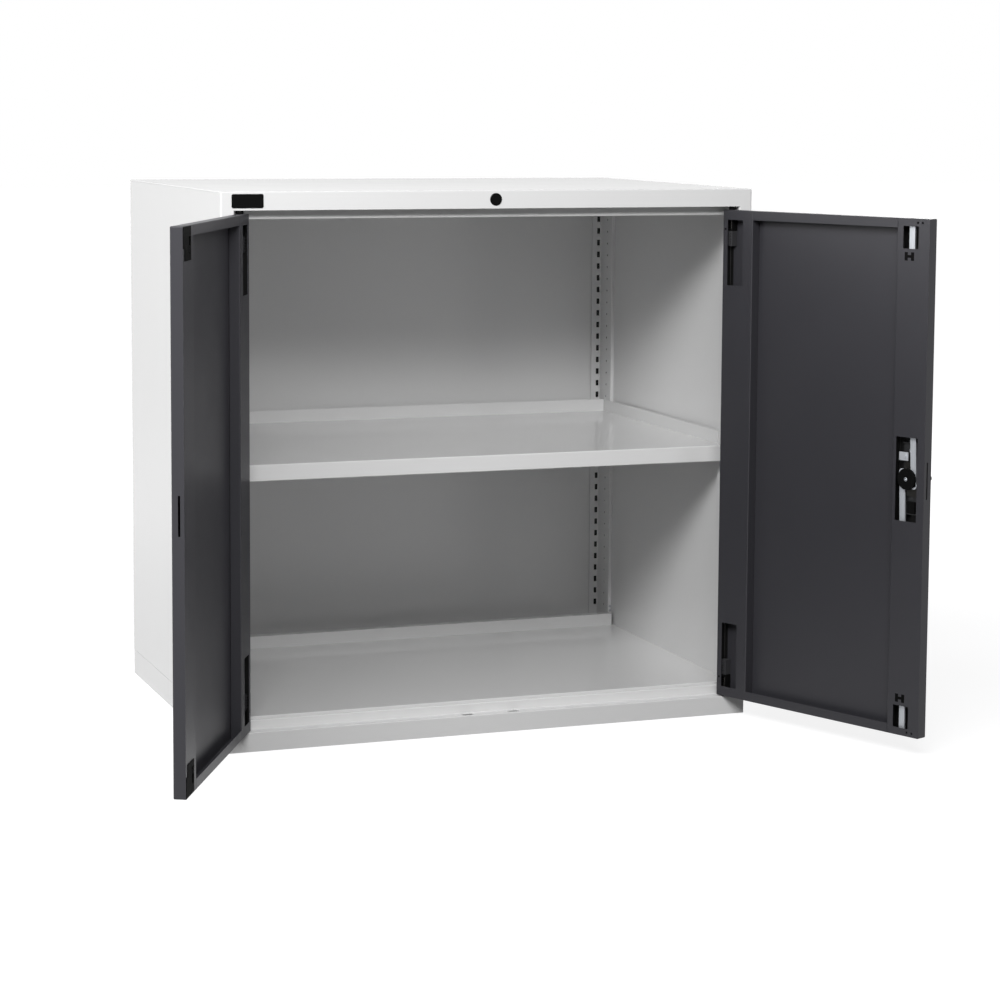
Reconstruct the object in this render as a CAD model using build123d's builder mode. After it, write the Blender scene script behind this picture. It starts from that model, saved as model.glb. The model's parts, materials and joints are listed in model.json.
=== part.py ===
from build123d import *

import os

# Two-door tool cabinet with one adjustable shelf, in millimetres.
# +X is to the right, +Y to the back, +Z up. The origin is the middle of the footprint on the floor.
# Every door piece is drawn on the shut right-hand door, then mirrored if need be and swung open.

# ---- overall size -------------------------------------------------------------------------------
width = 1023.0
depth = 725.0
height = 1000.0

# ---- carcass ------------------------------------------------------------------------------------
sheet = 1.2  # side panels, back, top, floor, rails and shelf
base_sheet = 1.5
base_height = 48.0  # side and back walls of the base tray
plinth_height = 35.0  # front of the base tray, under the doors
base_flange = 24.0
ledge_depth = 32.0
seam = 0.5  # painted joint between the base and the panels
corner_bend = 3.5  # outside radius of the upright corners
fold_bend = 2.0  # outside radius of the other folds
fascia_height = 33.0
fascia_return = 12.0
skirt_height = 2.5  # side edge of the top panel
jamb_width = 25.5
jamb_depth = 26.0
jamb_lip = 14.0
rail_gap = 0.4  # rails to the door corner that swings past them
lip_height = 17.0
lip_return = 11.0
sill_height = 17.0
sill_return = 6.0
sill_hem = 7.0
sill_side_gap = 0.2
groove = 1.2  # sill to floor tray
floor_lip = 7.8
floor_setback = 81.2
upstand_height = 25.0
floor_corner_gap = 6.0
floor_hem = 15.0
fascia_plug_diameter = 22.7
fascia_plug_hole = 19.0
fascia_plug_rim = 1.6
fascia_plug_ring = 15.5
fascia_plug_depth = 9.0
badge_length = 57.6
badge_height = 24.6
badge_thickness = 1.4
badge_corner = 3.0
badge_from_side = 19.8

# ---- shelf uprights -----------------------------------------------------------------------------
upright_leg = 19.6  # slotted leg, along the back
upright_web = 60.7  # leg along the side panel
upright_standoff = 7.1  # side panel to the web's inner face
upright_from_back = 3.3
front_upright_from_front = 60.0
slot_width = 6.5
slot_height = 12.0
slot_from_web = 5.4
slot_pitch = 25.0
first_slot_height = 87.0
last_slot_clearance = 50.0
peg_hole = 4.5
peg_hole_from_leg = 36.7
rivet_diameter = 5.0
rivet_head = 1.4
rivet_pitch = 9.0
first_rivet_height = 78.0

# ---- shelf --------------------------------------------------------------------------------------
shelf_height = 505.0  # top surface above the floor
shelf_side_gap = 0.7
shelf_front_setback = 85.0
shelf_rear_setback = 34.8
shelf_apron = 30.5
shelf_apron_return = 12.0
shelf_apron_hem = 7.5
shelf_apron_side_gap = 3.0
shelf_upstand = 25.0
shelf_upstand_setback = 28.0
shelf_corner_gap = 1.0
clip_sheet = 1.5
clip_width = 18.0
clip_tongue = 17.0
clip_height = 52.0
peg_diameter = 4.0
peg_length = 3.0
clip_from_web = 0.1

# ---- doors --------------------------------------------------------------------------------------
door_sheet = 1.0
door_thickness = 21.0
door_edge_gap = 1.5  # door to jamb, and door to the middle of the cabinet
door_bottom_gap = 2.0
door_top_gap = 6.5
hinge_bend = 2.5
pivot_from_edge = 9.5
pivot_from_face = 7.0
left_door_angle = 117.3
right_door_angle = 112.8
flange_height = 17.0
hinge_stile_width = 72.5
lock_stile_width = 70.8
stile_foot = 12.0
stile_bend = 1.5
stile_corner = 0.8  # clears the inside of the skin's bends

# cut-outs in the hinge stile, over the pivot pins
hinge_window_width = 38.0
hinge_window_height = 123.0
hinge_window_from_edge = 10.5
hinge_window_from_end = 18.0
stile_hole = 4.5
stile_hole_from_edge = 5.2
stile_hole_from_end = 35.5

# ---- pivot pins and their housings --------------------------------------------------------------
pin_diameter = 8.0
pin_clearance = 0.1  # on the diameter, in the bush and in the housing
pin_reach = 8.0  # pin above the door's end
collar_diameter = 11.0
collar_height = 2.5
bush_diameter = 13.4
bush_shank = 10.8
bush_shank_length = 4.0
bush_door_gap = 0.5
housing_near_side = 8.1  # pin to the side at the door's edge
housing_far_side = 7.5
housing_depth = 14.0
housing_height = 37.0
housing_gap = 0.2
housing_floor = 3.0
pocket_width = 11.4
pocket_wall = 0.3
spring_length = 24.0
spring_wire = 1.2
spring_radius = 4.8
spring_turns = 5
spring_end_gap = 0.2
slider_gap = 0.5
slider_length = 28.0
slider_floor = 4.0
slider_inset = 0.5
rib_proud = 1.6
rib_thickness = 2.2
rib_pitch = 5.0
rib_count = 5
rib_length = 11.0

# ---- lock ---------------------------------------------------------------------------------------
end_window_width = 34.0
end_window_height = 40.0
end_window_from_edge = 24.0
end_window_from_end = 13.5
end_dot = 4.6
end_dot_from_end = 7.2
end_dot_near = 15.5
end_dot_far = 26.2
guide_from_end = 67.0
guide_width = 21.0
guide_height = 15.0
guide_bar = 7.0
guide_waist = 5.0
guide_block_width = 25.0
guide_block_height = 19.0
lock_window_width = 47.8
lock_window_height = 150.0
lock_window_from_edge = 16.2
rod_line = 45.0  # where both rods leave the door, from the middle of the cabinet
spindle_from_edge = 41.7
rod_width = 12.0
rod_thickness = 3.0
rod_from_face = 11.0
rod_end_gap = 2.5
rod_slack = 1.4
rod_hole_clearance = 3.0  # slots in the door's ends
keeper_length = 23.0  # slots in the soffit and in the ledge
keeper_width = 10.0
crank_radius = 15.0
crank_pin = 5.0
crank_pin_clearance = 1.4
cam_diameter = 38.5
cam_thickness = 4.5
cam_from_face = 15.0
spindle_diameter = 8.0
spindle_clearance = 0.6
cam_screw_diameter = 7.0
cam_screw_head = 1.6
screw_socket = 3.0
case_width = 56.0
case_height = 128.0
case_wall = 1.5
case_from_face = 4.0
case_lip = 5.0
cap_width = 26.0
cap_length = 21.0
cap_height = 4.8
cap_chamfer = 0.6
cap_from_spindle = 51.5
bolt_height = 62.0
bolt_thickness = 3.0
bolt_reach = 50.0
bolt_throw = 12.0
bolt_from_face = 6.5  # the plate; its tip is bent up to the rods' level
bolt_tip = 17.0
bolt_setback = 1.5
bolt_slack = 1.0
bolt_slot_slack = 0.4
bracket_width = 20.0
bracket_height = 15.0
bracket_offset = 40.0
bracket_shift = 9.5
bracket_thickness = 1.5
bracket_post = 7.0
escutcheon_width = 56.0
escutcheon_height = 124.0
escutcheon_thickness = 14.0
escutcheon_slope = 2.5
dish_diameter = 50.0
dish_depth = 7.0
knob_diameter = 49.0
knob_thickness = 6.0
knob_clearance = 0.5
grip_length = 50.0
grip_width = 15.0
grip_height = 12.0
grip_end = 4.0
cylinder_diameter = 11.0
cylinder_clearance = 0.1
cylinder_depth = 14.0
cylinder_proud = 0.6
key_slot_length = 6.5
key_slot_width = 1.4
key_slot_depth = 4.0
post_diameter = 8.0
post_spacing = 100.0
post_screw = 4.0

# ---- flush bolts of the left-hand door ----------------------------------------------------------
flush_housing_width = 32.0
flush_housing_height = 50.0
flush_housing_depth = 16.0
flush_bolt_diameter = 7.0
flush_bolt_length = 52.0
flush_travel = 13.0
flush_end_gap = 3.5
flush_thumb_width = 10.0
flush_thumb_height = 12.0
flush_thumb_clearance = 1.0
flush_thumb_from_end = 41.0
flush_clearance = 0.3
flush_notch_width = 53.0  # from the door's free edge
flush_notch_height = 56.0
flush_step_width = 10.0  # the notch's lower end starts this much further in
flush_step_height = 20.0
flush_notch_gap = 0.3
flush_proud = 1.0
flush_thumb_proud = 0.8
flush_grip_rib = 1.6

# ---- places worked out from the sizes above -----------------------------------------------------
front = -depth / 2
back = depth / 2
half = width / 2
wall_inside = half - sheet
jamb_inside = half - jamb_width
panel_bottom = base_height + seam
fascia_bottom = height - fascia_height
panel_top = height - skirt_height - 0.2
floor_top = base_height + sheet
web_inside = half - sheet - upright_standoff
rear_leg_face = back - sheet - upright_from_back
front_leg_face = front + front_upright_from_front
upright_top = height - fold_bend
slot_count = 1 + int((upright_top - last_slot_clearance - first_slot_height) / slot_pitch)

hinge_edge = jamb_inside - door_edge_gap
free_edge = door_edge_gap
door_bottom = plinth_height + door_bottom_gap
door_top = fascia_bottom - door_top_gap
door_height = door_top - door_bottom
door_middle = (door_top + door_bottom) / 2
door_back = front + door_thickness
pivot_x = hinge_edge - pivot_from_edge
pivot_y = front + pivot_from_face
stile_face = door_back - door_sheet
swing_radius = (pivot_from_edge ** 2 + (door_back - pivot_y) ** 2) ** 0.5
rail_face = pivot_y + swing_radius + rail_gap
floor_front = rail_face + sill_return + groove
floor_back = back - floor_setback
spindle_x = free_edge + spindle_from_edge

cam_low = front + cam_from_face
rod_low = front + rod_from_face
rod_middle = rod_low + rod_thickness / 2
bolt_low = front + bolt_from_face
case_low = front + case_from_face

os.makedirs("parts", exist_ok=True)


# ---- helpers ------------------------------------------------------------------------------------
def block(x_range, y_range, z_range, mode=Mode.ADD):
    """Box between two values on each axis."""
    size = [high - low for low, high in (x_range, y_range, z_range)]
    with Locations(((sum(x_range)) / 2, (sum(y_range)) / 2, (sum(z_range)) / 2)):
        Box(*size, mode=mode)


def folded_sheet(plane, points, thickness, bend, side, length):
    """Bent sheet: the line of its outer face, thickened to one side and pulled along the plane."""
    with BuildSketch(plane) as section:
        with BuildLine():
            FilletPolyline(*points, radius=bend)
            offset(amount=thickness, side=side)
        make_face()
    extrude(section.sketch, amount=length)


def upright_edges(piece, x_value, y_value):
    """Vertical edges that stand at one place in the plan."""
    edges = piece.edges().filter_by(Axis.Z)
    return edges.filter_by(lambda e: abs(e.center().X - x_value) < 0.1 and abs(e.center().Y - y_value) < 0.1)


def level_edges(piece, y_value, z_value):
    """Edges along X at one depth and one height."""
    edges = piece.edges().filter_by(Axis.X)
    return edges.filter_by(lambda e: abs(e.center().Y - y_value) < 0.1 and abs(e.center().Z - z_value) < 0.1)


def facing_front(x, y, z):
    """Sketch plane that looks out of the front: X to the right, Y up."""
    return Plane((x, y, z), x_dir=(1, 0, 0), z_dir=(0, -1, 0))


def facing_back(x, y, z):
    """Sketch plane that looks to the back: X to the right, Y down."""
    return Plane((x, y, z), x_dir=(1, 0, 0), z_dir=(0, 1, 0))


def keeper_slots():
    """Slots in a level sketch where both rod lines leave the doors."""
    with Locations((-rod_line, rod_middle), (rod_line, rod_middle)):
        SlotOverall(keeper_length, keeper_width)


def save(piece, name):
    piece.label = name
    export_step(piece, f"parts/{name}.step")


def mirrored(piece):
    return mirror(piece, about=Plane.YZ)


def swung(piece, side):
    """Carry a piece of the shut right-hand door to its side and turn it to its resting angle."""
    if side == "left":
        return mirrored(piece).rotate(Axis((-pivot_x, pivot_y, 0), (0, 0, 1)), -left_door_angle)
    return piece.rotate(Axis((pivot_x, pivot_y, 0), (0, 0, 1)), right_door_angle)


def upside_down(piece):
    """The same piece at the other end of the door."""
    return mirror(piece, about=Plane.XY.offset(door_middle))


def both_ends(piece):
    return Compound(children=[piece, upside_down(piece)])


# ---- base tray ----------------------------------------------------------------------------------
with BuildPart() as base_tray:
    block((-half, half), (front, back), (0, base_height))
    fillet(base_tray.edges().filter_by(Axis.Z), corner_bend)
    offset(amount=-base_sheet, openings=base_tray.faces().sort_by(Axis.Z)[-1])
    jamb_zone_y = (front - 1, front + jamb_depth + sheet + seam)
    block((-half - 1, half + 1), jamb_zone_y, (plinth_height, base_height + 1), Mode.SUBTRACT)
    ledge_low = plinth_height - base_sheet
    inside = half - base_sheet
    block((-inside, inside), (front + base_sheet, front + ledge_depth), (ledge_low, plinth_height))
    flange_low = base_height - base_sheet
    for side in (-1, 1):
        flange_x = sorted((side * inside, side * (inside - base_flange)))
        block(flange_x, (front + ledge_depth, back - base_sheet), (flange_low, base_height))
    rear_flange_y = (back - base_sheet - base_flange, back - base_sheet)
    block((base_flange - inside, inside - base_flange), rear_flange_y, (flange_low, base_height))
    fillet(level_edges(base_tray, front, plinth_height), base_sheet * 0.8)
    with BuildSketch(Plane.XY.offset(ledge_low)):
        keeper_slots()
        with Locations((-pivot_x, pivot_y), (pivot_x, pivot_y)):
            Circle(bush_shank / 2)
    extrude(amount=base_sheet, mode=Mode.SUBTRACT)
save(base_tray.part, "base_tray")

# ---- sill rail, behind the doors' lower edge ----------------------------------------------------
with BuildPart() as sill_rail:
    sill_half = jamb_inside - sill_side_gap
    sill_top = plinth_height + sill_height
    sill_line = [
        (rail_face, plinth_height),
        (rail_face, sill_top),
        (rail_face + sill_return, sill_top),
        (rail_face + sill_return, sill_top - sill_hem),
    ]
    folded_sheet(Plane.YZ.offset(-sill_half), sill_line, sheet, fold_bend, Side.RIGHT, 2 * sill_half)
save(sill_rail.part, "sill_rail")

# ---- floor tray ---------------------------------------------------------------------------------
with BuildPart() as floor_tray:
    block((-wall_inside, wall_inside), (floor_front, floor_back), (base_height, floor_top))
    lip_half = web_inside
    block((-lip_half, lip_half), (floor_front, floor_front + sheet), (floor_top, floor_top + floor_lip))
    rear_half = wall_inside - floor_corner_gap
    block((-rear_half, rear_half), (floor_back - sheet, floor_back), (floor_top, floor_top + upstand_height))
    hem_top = floor_top + upstand_height
    block((-rear_half, rear_half), (floor_back, floor_back + floor_hem), (hem_top - sheet, hem_top))
    fillet(level_edges(floor_tray, floor_front, floor_top + floor_lip), sheet * 0.8)
    fillet(level_edges(floor_tray, floor_back - sheet, floor_top + upstand_height), sheet * 0.8)
save(floor_tray.part, "floor_tray")

# ---- side panels, with the door jamb folded on the front edge -----------------------------------
with BuildPart() as side_panel:
    side_line = [
        (half, back),
        (half, front),
        (jamb_inside, front),
        (jamb_inside, front + jamb_depth),
        (jamb_inside + jamb_lip, front + jamb_depth),
    ]
    jamb_bottom = plinth_height + seam
    panel_height = panel_top - jamb_bottom
    folded_sheet(Plane.XY.offset(jamb_bottom), side_line, sheet, corner_bend, Side.RIGHT, panel_height)
    behind_jamb = (front + jamb_depth + sheet, back + 1)
    block((wall_inside - 1, half + 1), behind_jamb, (jamb_bottom - 1, panel_bottom), Mode.SUBTRACT)
    fascia_zone_y = (front - sheet, front + fascia_return)
    block((jamb_inside - sheet, half + sheet), fascia_zone_y, (fascia_bottom, height), Mode.SUBTRACT)
    jamb_zone_y = (front - sheet, front + jamb_depth + sheet)
    block((jamb_inside - sheet, wall_inside), jamb_zone_y, (fascia_bottom, height), Mode.SUBTRACT)
save(side_panel.part, "side_panel_right")
save(mirrored(side_panel.part), "side_panel_left")

# ---- back panel ---------------------------------------------------------------------------------
with BuildPart() as back_panel:
    block((-wall_inside, wall_inside), (back - sheet, back), (panel_bottom, height - sheet))
    top_corners = back_panel.edges().filter_by(Axis.Y).group_by(Axis.Z)[-1]
    chamfer(top_corners, fold_bend - sheet)
save(back_panel.part, "back_panel")

# ---- top panel with the fascia folded down in front ---------------------------------------------
with BuildPart() as top_panel:
    block((-half, half), (front, back), (fascia_bottom, height))
    fillet(upright_edges(top_panel, -half, front) + upright_edges(top_panel, half, front), corner_bend)
    top_face = top_panel.faces().sort_by(Axis.Z)[-1]
    fillet(top_face.edges().filter_by(lambda e: e.center().Y < back - 0.1), fold_bend)
    under_side = top_panel.faces().sort_by(Axis.Z)[0]
    rear_side = top_panel.faces().sort_by(Axis.Y)[-1]
    offset(amount=-sheet, openings=[under_side, rear_side])
    for side in (-1, 1):
        skirt_x = sorted((side * (half + sheet), side * (half - 2 * sheet)))
        skirt_y = (front + fascia_return, back + sheet)
        block(skirt_x, skirt_y, (fascia_bottom - sheet, height - skirt_height), Mode.SUBTRACT)
    with Locations(facing_front(0, front, height - fascia_height / 2)):
        Hole(fascia_plug_hole / 2, depth=2 * sheet)
save(top_panel.part, "top_panel")

# ---- top rail: soffit over the doors and the lip behind them ------------------------------------
with BuildPart() as top_rail:
    rail_line = [
        (front + sheet, fascia_bottom),
        (rail_face, fascia_bottom),
        (rail_face, fascia_bottom - lip_height),
        (rail_face + lip_return, fascia_bottom - lip_height),
    ]
    folded_sheet(Plane.YZ.offset(-jamb_inside), rail_line, sheet, fold_bend, Side.LEFT, 2 * jamb_inside)
    for side in (-1, 1):
        tab_x = sorted((side * jamb_inside, side * wall_inside))
        block(tab_x, (front + corner_bend, rail_face - fold_bend), (fascia_bottom, fascia_bottom + sheet))
    with BuildSketch(Plane.XY.offset(fascia_bottom)):
        keeper_slots()
        with Locations((-pivot_x, pivot_y), (pivot_x, pivot_y)):
            Circle(bush_shank / 2)
    extrude(amount=sheet, mode=Mode.SUBTRACT)
save(top_rail.part, "top_rail")


# ---- shelf uprights -----------------------------------------------------------------------------
def upright(leg_face, toward, foot):
    """Upright on the right-hand side: its slotted leg at leg_face, its web running toward the other end."""
    web_end = leg_face + toward * upright_web
    line = [
        (web_inside - upright_leg, leg_face),
        (web_inside, leg_face),
        (web_inside, web_end),
        (wall_inside, web_end),
    ]
    slot_middle = first_slot_height + slot_pitch * (slot_count - 1) / 2
    leg_plane = facing_front(web_inside - slot_from_web, leg_face, slot_middle)
    peg_hole_y = leg_face + toward * peg_hole_from_leg
    web_plane = Plane((web_inside, peg_hole_y, slot_middle), x_dir=(0, 1, 0), z_dir=(1, 0, 0))
    side = Side.LEFT if toward < 0 else Side.RIGHT
    with BuildPart() as post:
        folded_sheet(Plane.XY.offset(foot), line, sheet, fold_bend, side, upright_top - foot)
        with BuildSketch(leg_plane):
            with GridLocations(slot_pitch, slot_pitch, 1, slot_count):
                RectangleRounded(slot_width, slot_height, slot_width / 5)
        extrude(amount=2 * sheet, both=True, mode=Mode.SUBTRACT)
        with BuildSketch(web_plane):
            with GridLocations(slot_pitch, slot_pitch, 1, slot_count):
                Circle(peg_hole / 2)
        extrude(amount=2 * sheet, both=True, mode=Mode.SUBTRACT)
    return post.part


rear_upright = upright(rear_leg_face, -1, base_height)
front_upright = upright(front_leg_face, 1, floor_top)
save(rear_upright, "rear_upright_right")
save(mirrored(rear_upright), "rear_upright_left")
save(front_upright, "front_upright_right")
save(mirrored(front_upright), "front_upright_left")

# ---- rivets that hold the uprights' webs to the side panels -------------------------------------
with BuildPart() as rivets:
    rivet_y = rear_leg_face - upright_web
    rivet_x = (web_inside + wall_inside) / 2 + sheet / 2
    for column in (-rivet_x, rivet_x):
        for level in (first_rivet_height, first_rivet_height + rivet_pitch):
            with Locations(facing_front(column, rivet_y, level)):
                Cylinder(rivet_diameter / 2, rivet_head, align=(Align.CENTER, Align.CENTER, Align.MIN))
save(rivets.part, "upright_rivets")

# ---- shelf --------------------------------------------------------------------------------------
with BuildPart() as shelf:
    shelf_half = web_inside - shelf_side_gap
    shelf_front = front + shelf_front_setback
    shelf_back = back - shelf_rear_setback
    shelf_under = shelf_height - sheet
    shelf_line = [
        (shelf_back, shelf_height),
        (shelf_front, shelf_height),
        (shelf_front, shelf_height - shelf_apron),
        (shelf_front + shelf_apron_return, shelf_height - shelf_apron),
        (shelf_front + shelf_apron_return, shelf_height - shelf_apron + shelf_apron_hem),
    ]
    folded_sheet(Plane.YZ.offset(-shelf_half), shelf_line, sheet, fold_bend, Side.LEFT, 2 * shelf_half)
    apron_half = shelf_half - shelf_apron_side_gap
    for side in (-1, 1):
        end_x = sorted((side * apron_half, side * (shelf_half + 1)))
        end_y = (shelf_front - 1, shelf_front + shelf_apron_return + 1)
        block(end_x, end_y, (shelf_height - shelf_apron - 1, shelf_under), Mode.SUBTRACT)
    upstand_z = (shelf_height, shelf_height + shelf_upstand)
    for side in (-1, 1):
        wing_x = sorted((side * shelf_half, side * (shelf_half - sheet)))
        block(wing_x, (shelf_front + shelf_upstand_setback, shelf_back), upstand_z)
    rear_edge = shelf_half - sheet - shelf_corner_gap
    block((-rear_edge, rear_edge), (shelf_back - sheet, shelf_back), upstand_z)
save(shelf.part, "shelf")


# ---- shelf clips --------------------------------------------------------------------------------
def shelf_clip(middle_y):
    """Angle clip on the right-hand side: two pegs in the web and a tongue under the shelf."""
    clip_y = (middle_y - clip_width / 2, middle_y + clip_width / 2)
    plate_x = (web_inside - clip_from_web - clip_sheet, web_inside - clip_from_web)
    tongue_x = (plate_x[0] - clip_tongue, plate_x[1])
    steps_down = int((shelf_under - clip_sheet - first_slot_height) / slot_pitch)
    upper_peg = first_slot_height + steps_down * slot_pitch
    with BuildPart() as clip:
        block(plate_x, clip_y, (shelf_under - clip_height, shelf_under))
        block(tongue_x, clip_y, (shelf_under - clip_sheet, shelf_under))
        for level in (upper_peg, upper_peg - slot_pitch):
            with Locations(Plane((plate_x[1], middle_y, level), z_dir=(1, 0, 0))):
                Cylinder(peg_diameter / 2, peg_length, align=(Align.CENTER, Align.CENTER, Align.MIN))
    return clip.part


rear_clip = shelf_clip(rear_leg_face - peg_hole_from_leg)
front_clip = shelf_clip(front_leg_face + peg_hole_from_leg)
clips = [rear_clip, front_clip, mirrored(rear_clip), mirrored(front_clip)]
save(Compound(children=clips), "shelf_clips")

# ---- plug and blank badge on the fascia ---------------------------------------------------------
with BuildPart() as fascia_plug:
    with BuildSketch(facing_front(0, front, height - fascia_height / 2)):
        Circle(fascia_plug_diameter / 2)
    extrude(amount=fascia_plug_rim)
    fillet(fascia_plug.faces().sort_by(Axis.Y)[0].edges(), fascia_plug_rim * 0.45)
    with BuildSketch(facing_back(0, front - fascia_plug_rim, height - fascia_height / 2)):
        Circle(fascia_plug_ring / 2)
        Circle(fascia_plug_ring / 2 - 0.9, mode=Mode.SUBTRACT)
    extrude(amount=fascia_plug_rim * 0.4, mode=Mode.SUBTRACT)
    with BuildSketch(facing_back(0, front, height - fascia_height / 2)):
        Circle(fascia_plug_hole / 2 - 0.1)
        Circle(fascia_plug_hole / 2 - 2.1, mode=Mode.SUBTRACT)
    extrude(amount=fascia_plug_depth)
save(fascia_plug.part, "fascia_plug")

with BuildPart() as badge_plate:
    badge_x = -half + badge_from_side + badge_length / 2
    with BuildSketch(facing_front(badge_x, front, height - fascia_height / 2)):
        RectangleRounded(badge_length, badge_height, badge_corner)
    extrude(amount=badge_thickness)
    fillet(badge_plate.faces().sort_by(Axis.Y)[0].edges(), badge_thickness * 0.4)
save(badge_plate.part, "badge_plate")

# ---- bushes the pivot pins turn in --------------------------------------------------------------
with BuildPart() as upper_bush:
    with Locations((pivot_x, pivot_y, door_top + bush_door_gap)):
        flange_room = door_top_gap - bush_door_gap
        Cylinder(bush_diameter / 2, flange_room, align=(Align.CENTER, Align.CENTER, Align.MIN))
    with Locations((pivot_x, pivot_y, fascia_bottom)):
        Cylinder(bush_shank / 2, bush_shank_length, align=(Align.CENTER, Align.CENTER, Align.MIN))
    with Locations((pivot_x, pivot_y, fascia_bottom)):
        Cylinder((pin_diameter + pin_clearance) / 2, 4 * bush_shank_length, mode=Mode.SUBTRACT)

with BuildPart() as lower_bush:
    with Locations((pivot_x, pivot_y, plinth_height)):
        flange_room = door_bottom_gap - bush_door_gap
        Cylinder(bush_diameter / 2, flange_room, align=(Align.CENTER, Align.CENTER, Align.MIN))
        Cylinder(bush_shank / 2, bush_shank_length + pin_reach, align=(Align.CENTER, Align.CENTER, Align.MAX))
        Cylinder((pin_diameter + pin_clearance) / 2, 6 * pin_reach, mode=Mode.SUBTRACT)

bushes = [upper_bush.part, lower_bush.part, mirrored(upper_bush.part), mirrored(lower_bush.part)]
save(Compound(children=bushes), "hinge_bushes")


# ---- door skins ---------------------------------------------------------------------------------
def clear_stile_ends(x_range):
    """Trim a stile's foot where the skin's front bends run across its ends."""
    bend_y = (front, front + fold_bend)
    block(x_range, bend_y, (door_bottom, door_bottom + fold_bend), Mode.SUBTRACT)
    block(x_range, bend_y, (door_top - fold_bend, door_top), Mode.SUBTRACT)


def door_skin(active):
    """Folded outer tray of a door. The active one carries the lock."""
    with BuildPart() as skin:
        block((free_edge, hinge_edge), (front, door_back), (door_bottom, door_top))
        fillet(upright_edges(skin, hinge_edge, front), hinge_bend)
        fillet(upright_edges(skin, free_edge, front), fold_bend)
        outer = skin.faces().sort_by(Axis.Y)[0]
        fillet(outer.edges().filter_by(Axis.X), fold_bend)
        offset(amount=-door_sheet, openings=skin.faces().sort_by(Axis.Y)[-1])
        flange_x = (free_edge + lock_stile_width, hinge_edge - hinge_stile_width)
        block(flange_x, (stile_face, door_back), (door_top - flange_height, door_top - door_sheet))
        block(flange_x, (stile_face, door_back), (door_bottom + door_sheet, door_bottom + flange_height))
        with Locations((pivot_x, pivot_y, door_middle)):
            Cylinder((pin_diameter + 1) / 2, 2 * door_height, mode=Mode.SUBTRACT)
        for end_z, inwards in ((door_top, -1), (door_bottom, 1)):
            with BuildSketch(Plane.XY.offset(end_z)):
                with Locations((rod_line, rod_middle)):
                    if active:
                        SlotOverall(rod_width + rod_hole_clearance, rod_thickness + rod_hole_clearance - 1)
                    else:
                        Circle(flush_bolt_diameter / 2 + flush_clearance)
            extrude(amount=inwards * 3 * fold_bend, mode=Mode.SUBTRACT)
        slot_y = (rod_low - bolt_slot_slack, rod_low + bolt_thickness + bolt_slot_slack)
        slot_reach = bolt_height / 2 + 2 * bolt_slack
        slot_z = (door_middle - slot_reach, door_middle + slot_reach)
        block((free_edge - 1, free_edge + door_sheet + 1), slot_y, slot_z, Mode.SUBTRACT)
        if active:
            with Locations(facing_front(spindle_x, front, door_middle)):
                Hole(spindle_diameter / 2 + spindle_clearance, depth=2 * door_sheet)
                with GridLocations(post_spacing, post_spacing, 1, 2):
                    Hole(post_diameter / 2 + spindle_clearance, depth=2 * door_sheet)
    return skin.part


save(swung(door_skin(False), "left"), "left_door_skin")
save(swung(door_skin(True), "right"), "right_door_skin")

# ---- hinge stiles -------------------------------------------------------------------------------
stile_length = door_height - 2 * door_sheet
stile_plane = Plane.XY.offset(door_bottom + door_sheet)
with BuildPart() as hinge_stile:
    hinge_stile_line = [
        (hinge_edge - door_sheet, door_back),
        (hinge_edge - hinge_stile_width, door_back),
        (hinge_edge - hinge_stile_width, front + door_sheet),
        (hinge_edge - hinge_stile_width + stile_foot, front + door_sheet),
    ]
    folded_sheet(stile_plane, hinge_stile_line, door_sheet, stile_bend, Side.LEFT, stile_length)
    clear_stile_ends((hinge_edge - hinge_stile_width, hinge_edge))
    chamfer(hinge_stile.edges().filter_by(Axis.Y).group_by(Axis.X)[-1], stile_corner)
    window_x = hinge_edge - hinge_window_from_edge - hinge_window_width / 2
    window_offset = door_height / 2 - hinge_window_from_end - hinge_window_height / 2
    with BuildSketch(facing_front(window_x, door_back, door_middle)):
        with Locations((0, window_offset), (0, -window_offset)):
            RectangleRounded(hinge_window_width, hinge_window_height, stile_bend)
    extrude(amount=2 * door_sheet, mode=Mode.SUBTRACT)
    dot_x = hinge_edge - stile_hole_from_edge
    dot_offset = door_height / 2 - stile_hole_from_end
    with BuildSketch(facing_front(dot_x, door_back, door_middle)):
        with Locations((0, dot_offset), (0, -dot_offset)):
            Circle(stile_hole / 2)
    extrude(amount=2 * door_sheet, mode=Mode.SUBTRACT)
save(swung(hinge_stile.part, "left"), "left_hinge_stile")
save(swung(hinge_stile.part, "right"), "right_hinge_stile")


# ---- lock stiles --------------------------------------------------------------------------------
def guide_outline():
    """H-shaped head of a rod guide, as seen from inside the cabinet."""
    wing = (guide_width - guide_bar) / 2
    with Locations((-(guide_width - wing) / 2, 0), ((guide_width - wing) / 2, 0)):
        Rectangle(wing, guide_height)
    Rectangle(guide_width, guide_waist)


guide_offset = door_height / 2 - guide_from_end
inner_face = facing_front(0, door_back, door_middle)
flush_notch = ((0, flush_notch_height - flush_step_height), (flush_step_width, flush_notch_height))


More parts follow.
